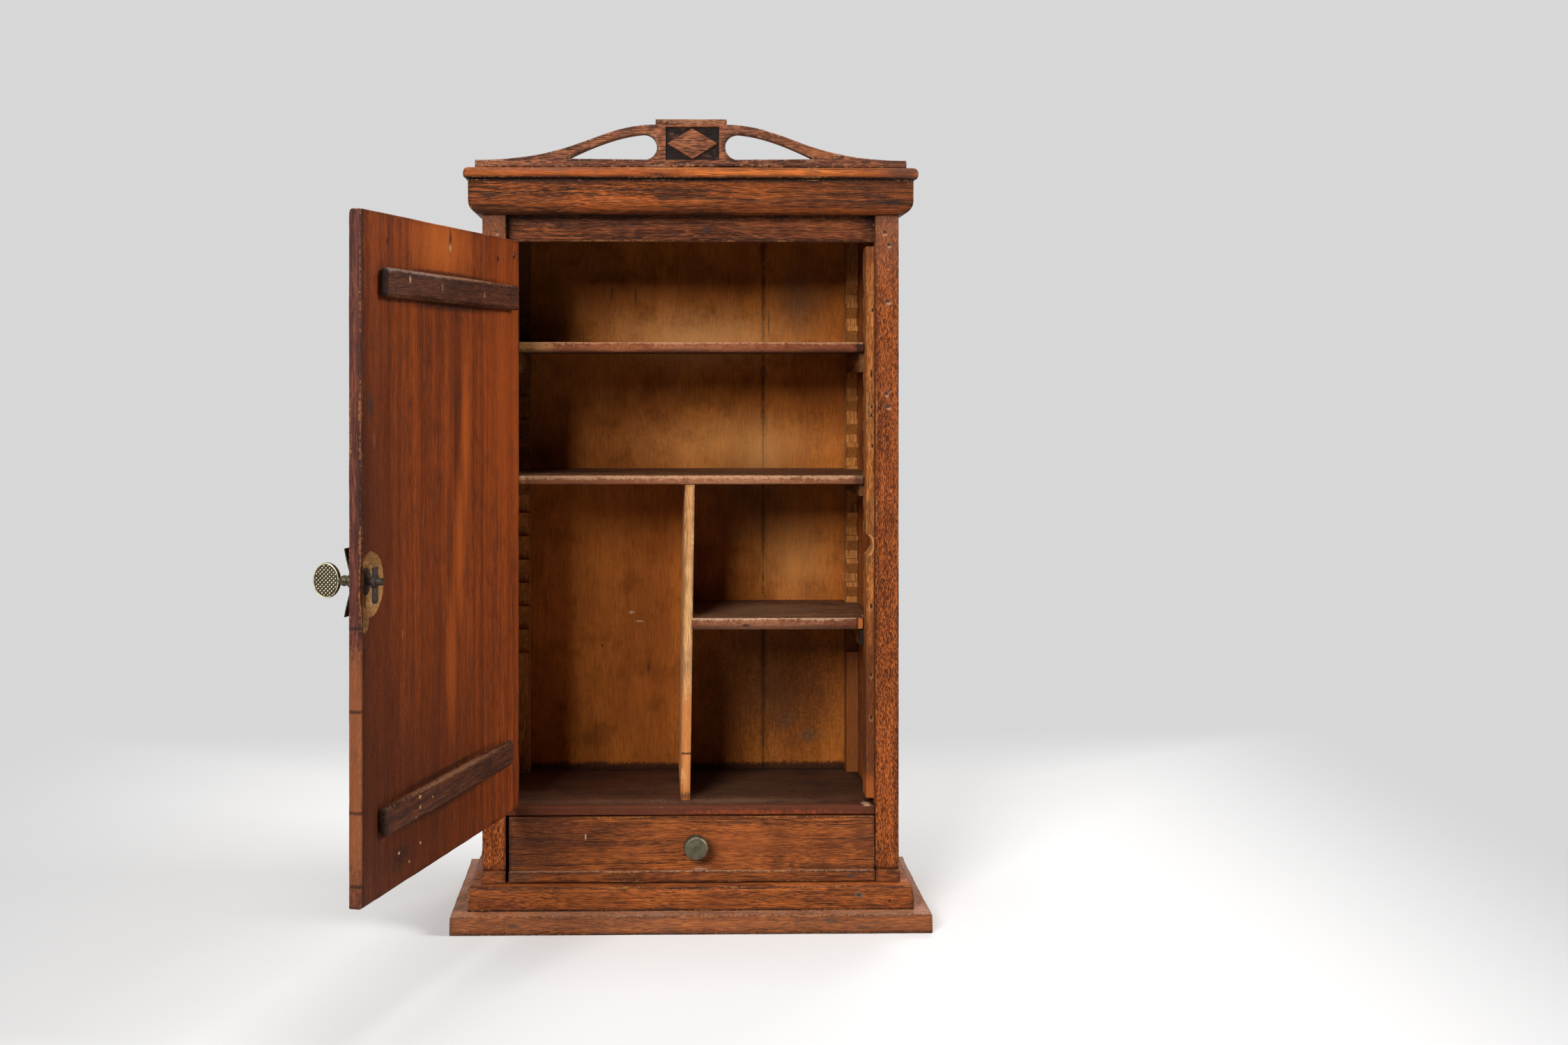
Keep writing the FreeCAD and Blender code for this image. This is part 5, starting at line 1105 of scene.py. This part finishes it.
knob_brass = old_metal("knob_brass", (150, 138, 108), (90, 83, 62), (68, 70, 52), .6, (.4, .55), .04)
knob = np.column_stack([KNOB_X + shape[:, 0], KNOB_Y - shape[:, 2], KNOB_Z + shape[:, 1]])
form = {"points": knob, "faces": faces, "values": {"rubbed": rubbed}}
put_in("drawer_knob_brass", form, knob_brass, "drawer", ["drawer_knob"])


# Floor and light: a plain pale floor that fades into a pale grey room, a large soft lamp at the left of
# the camera, a second one high on the right, one above, a weak one behind for the back, and a little
# light from all round.
ROOM = colour(215, 215, 216)
floor_mesh = bpy.data.meshes.new("floor")
ring = np.linspace(0, 2 * math.pi, 97)[:-1]
floor_mesh.from_pydata(np.column_stack([8 * np.cos(ring), 8 * np.sin(ring), 0 * ring]), [], [range(96)])
floor = bpy.data.objects.new("floor", floor_mesh)
bpy.context.scene.collection.objects.link(floor)
floor_paper, paper = new_finish("floor_paper")
paper.socket.node.inputs["Roughness"].default_value = .8


def seen_outright(signal):
    """1 where a ray comes from the camera or off a shiny face, 0 where it only carries light."""
    camera_ray = signal.make("ShaderNodeLightPath", {}, out="Is Camera Ray")
    return camera_ray.most(Signal(camera_ray.socket.node.outputs["Is Glossy Ray"]))


sight = seen_outright(paper)
tone = sight.blend(colour(150, 148, 146), colour(231, 230, 229))
floor_paper.node_tree.links.new(tone.socket, paper.socket)
place = paper.make("ShaderNodeTexCoord", {}, out="Object")
split = paper.make("ShaderNodeSeparateXYZ", {0: place}, out="X")
across, away = split, Signal(split.socket.node.outputs["Y"])
ahead = away.between(.42, .8).most(away.between(-.6, -1.3))
beyond = ahead.most(across.between(.3, .85)).most(across.between(-.3, -.85))
clear = paper.make("ShaderNodeBsdfTransparent", {})
seen = paper.make("ShaderNodeMixShader", {0: beyond * sight, 2: clear,
                                          1: Signal(paper.socket.node.outputs[0])})
surface = floor_paper.node_tree.nodes["Material Output"].inputs["Surface"]
floor_paper.node_tree.links.new(seen.socket, surface)
floor_mesh.materials.append(floor_paper)

world = bpy.data.worlds.new("room")
world.use_nodes = True
bpy.context.scene.world = world
light = Signal(world.node_tree.nodes["Background"].inputs["Color"])
light.socket.default_value = (1., 1., 1., 1.)
light.socket.node.inputs["Strength"].default_value = .02
backdrop = light.make("ShaderNodeBackground", {"Color": ROOM, "Strength": 1.})
room = light.make("ShaderNodeMixShader", {0: seen_outright(light), 1: Signal(light.socket.node.outputs[0]),
                                          2: backdrop})
world.node_tree.links.new(room.socket, world.node_tree.nodes["World Output"].inputs["Surface"])


CABINET_MIDDLE = (0, 0, .33)


def lamp(name, place, size, power):
    """Square soft lamp at a place, in metres, turned to face the middle of the cabinet."""
    data = bpy.data.lights.new(name, "AREA")
    data.shape, data.size, data.energy = "SQUARE", size, power
    holder = bpy.data.objects.new(name, data)
    bpy.context.scene.collection.objects.link(holder)
    holder.location = place
    aim = np.subtract(CABINET_MIDDLE, place)
    flat = math.hypot(aim[0], aim[1])
    holder.rotation_euler = (math.atan2(flat, -aim[2]), 0, math.atan2(aim[1], aim[0]) - math.pi / 2)


lamp("key_lamp", (-1.44, -3.42, 1.83), 1.3, 145)
lamp("fill_lamp", (3.04, -.54, 1.97), 1.2, 85)
lamp("top_lamp", (0, -.2, 3.5), 1.6, 50)
lamp("back_lamp", (.9, 2.4, 2.6), 1.2, 30)


# Camera: level, about a metre and a half in front, a little left of the middle, its lens shifted to hold
# the whole cabinet without leaning.
camera = bpy.data.objects.new("camera", bpy.data.cameras.new("camera"))
bpy.context.scene.collection.objects.link(camera)
camera.location = (-.029, -1.5625, .443)
camera.rotation_euler = (math.pi / 2, 0, math.radians(-1.14))
camera.data.lens, camera.data.sensor_width = 42.4, 36.
camera.data.shift_x, camera.data.shift_y = .0587, -.0911
bpy.context.scene.camera = camera
bpy.context.scene.view_settings.view_transform = "Standard"
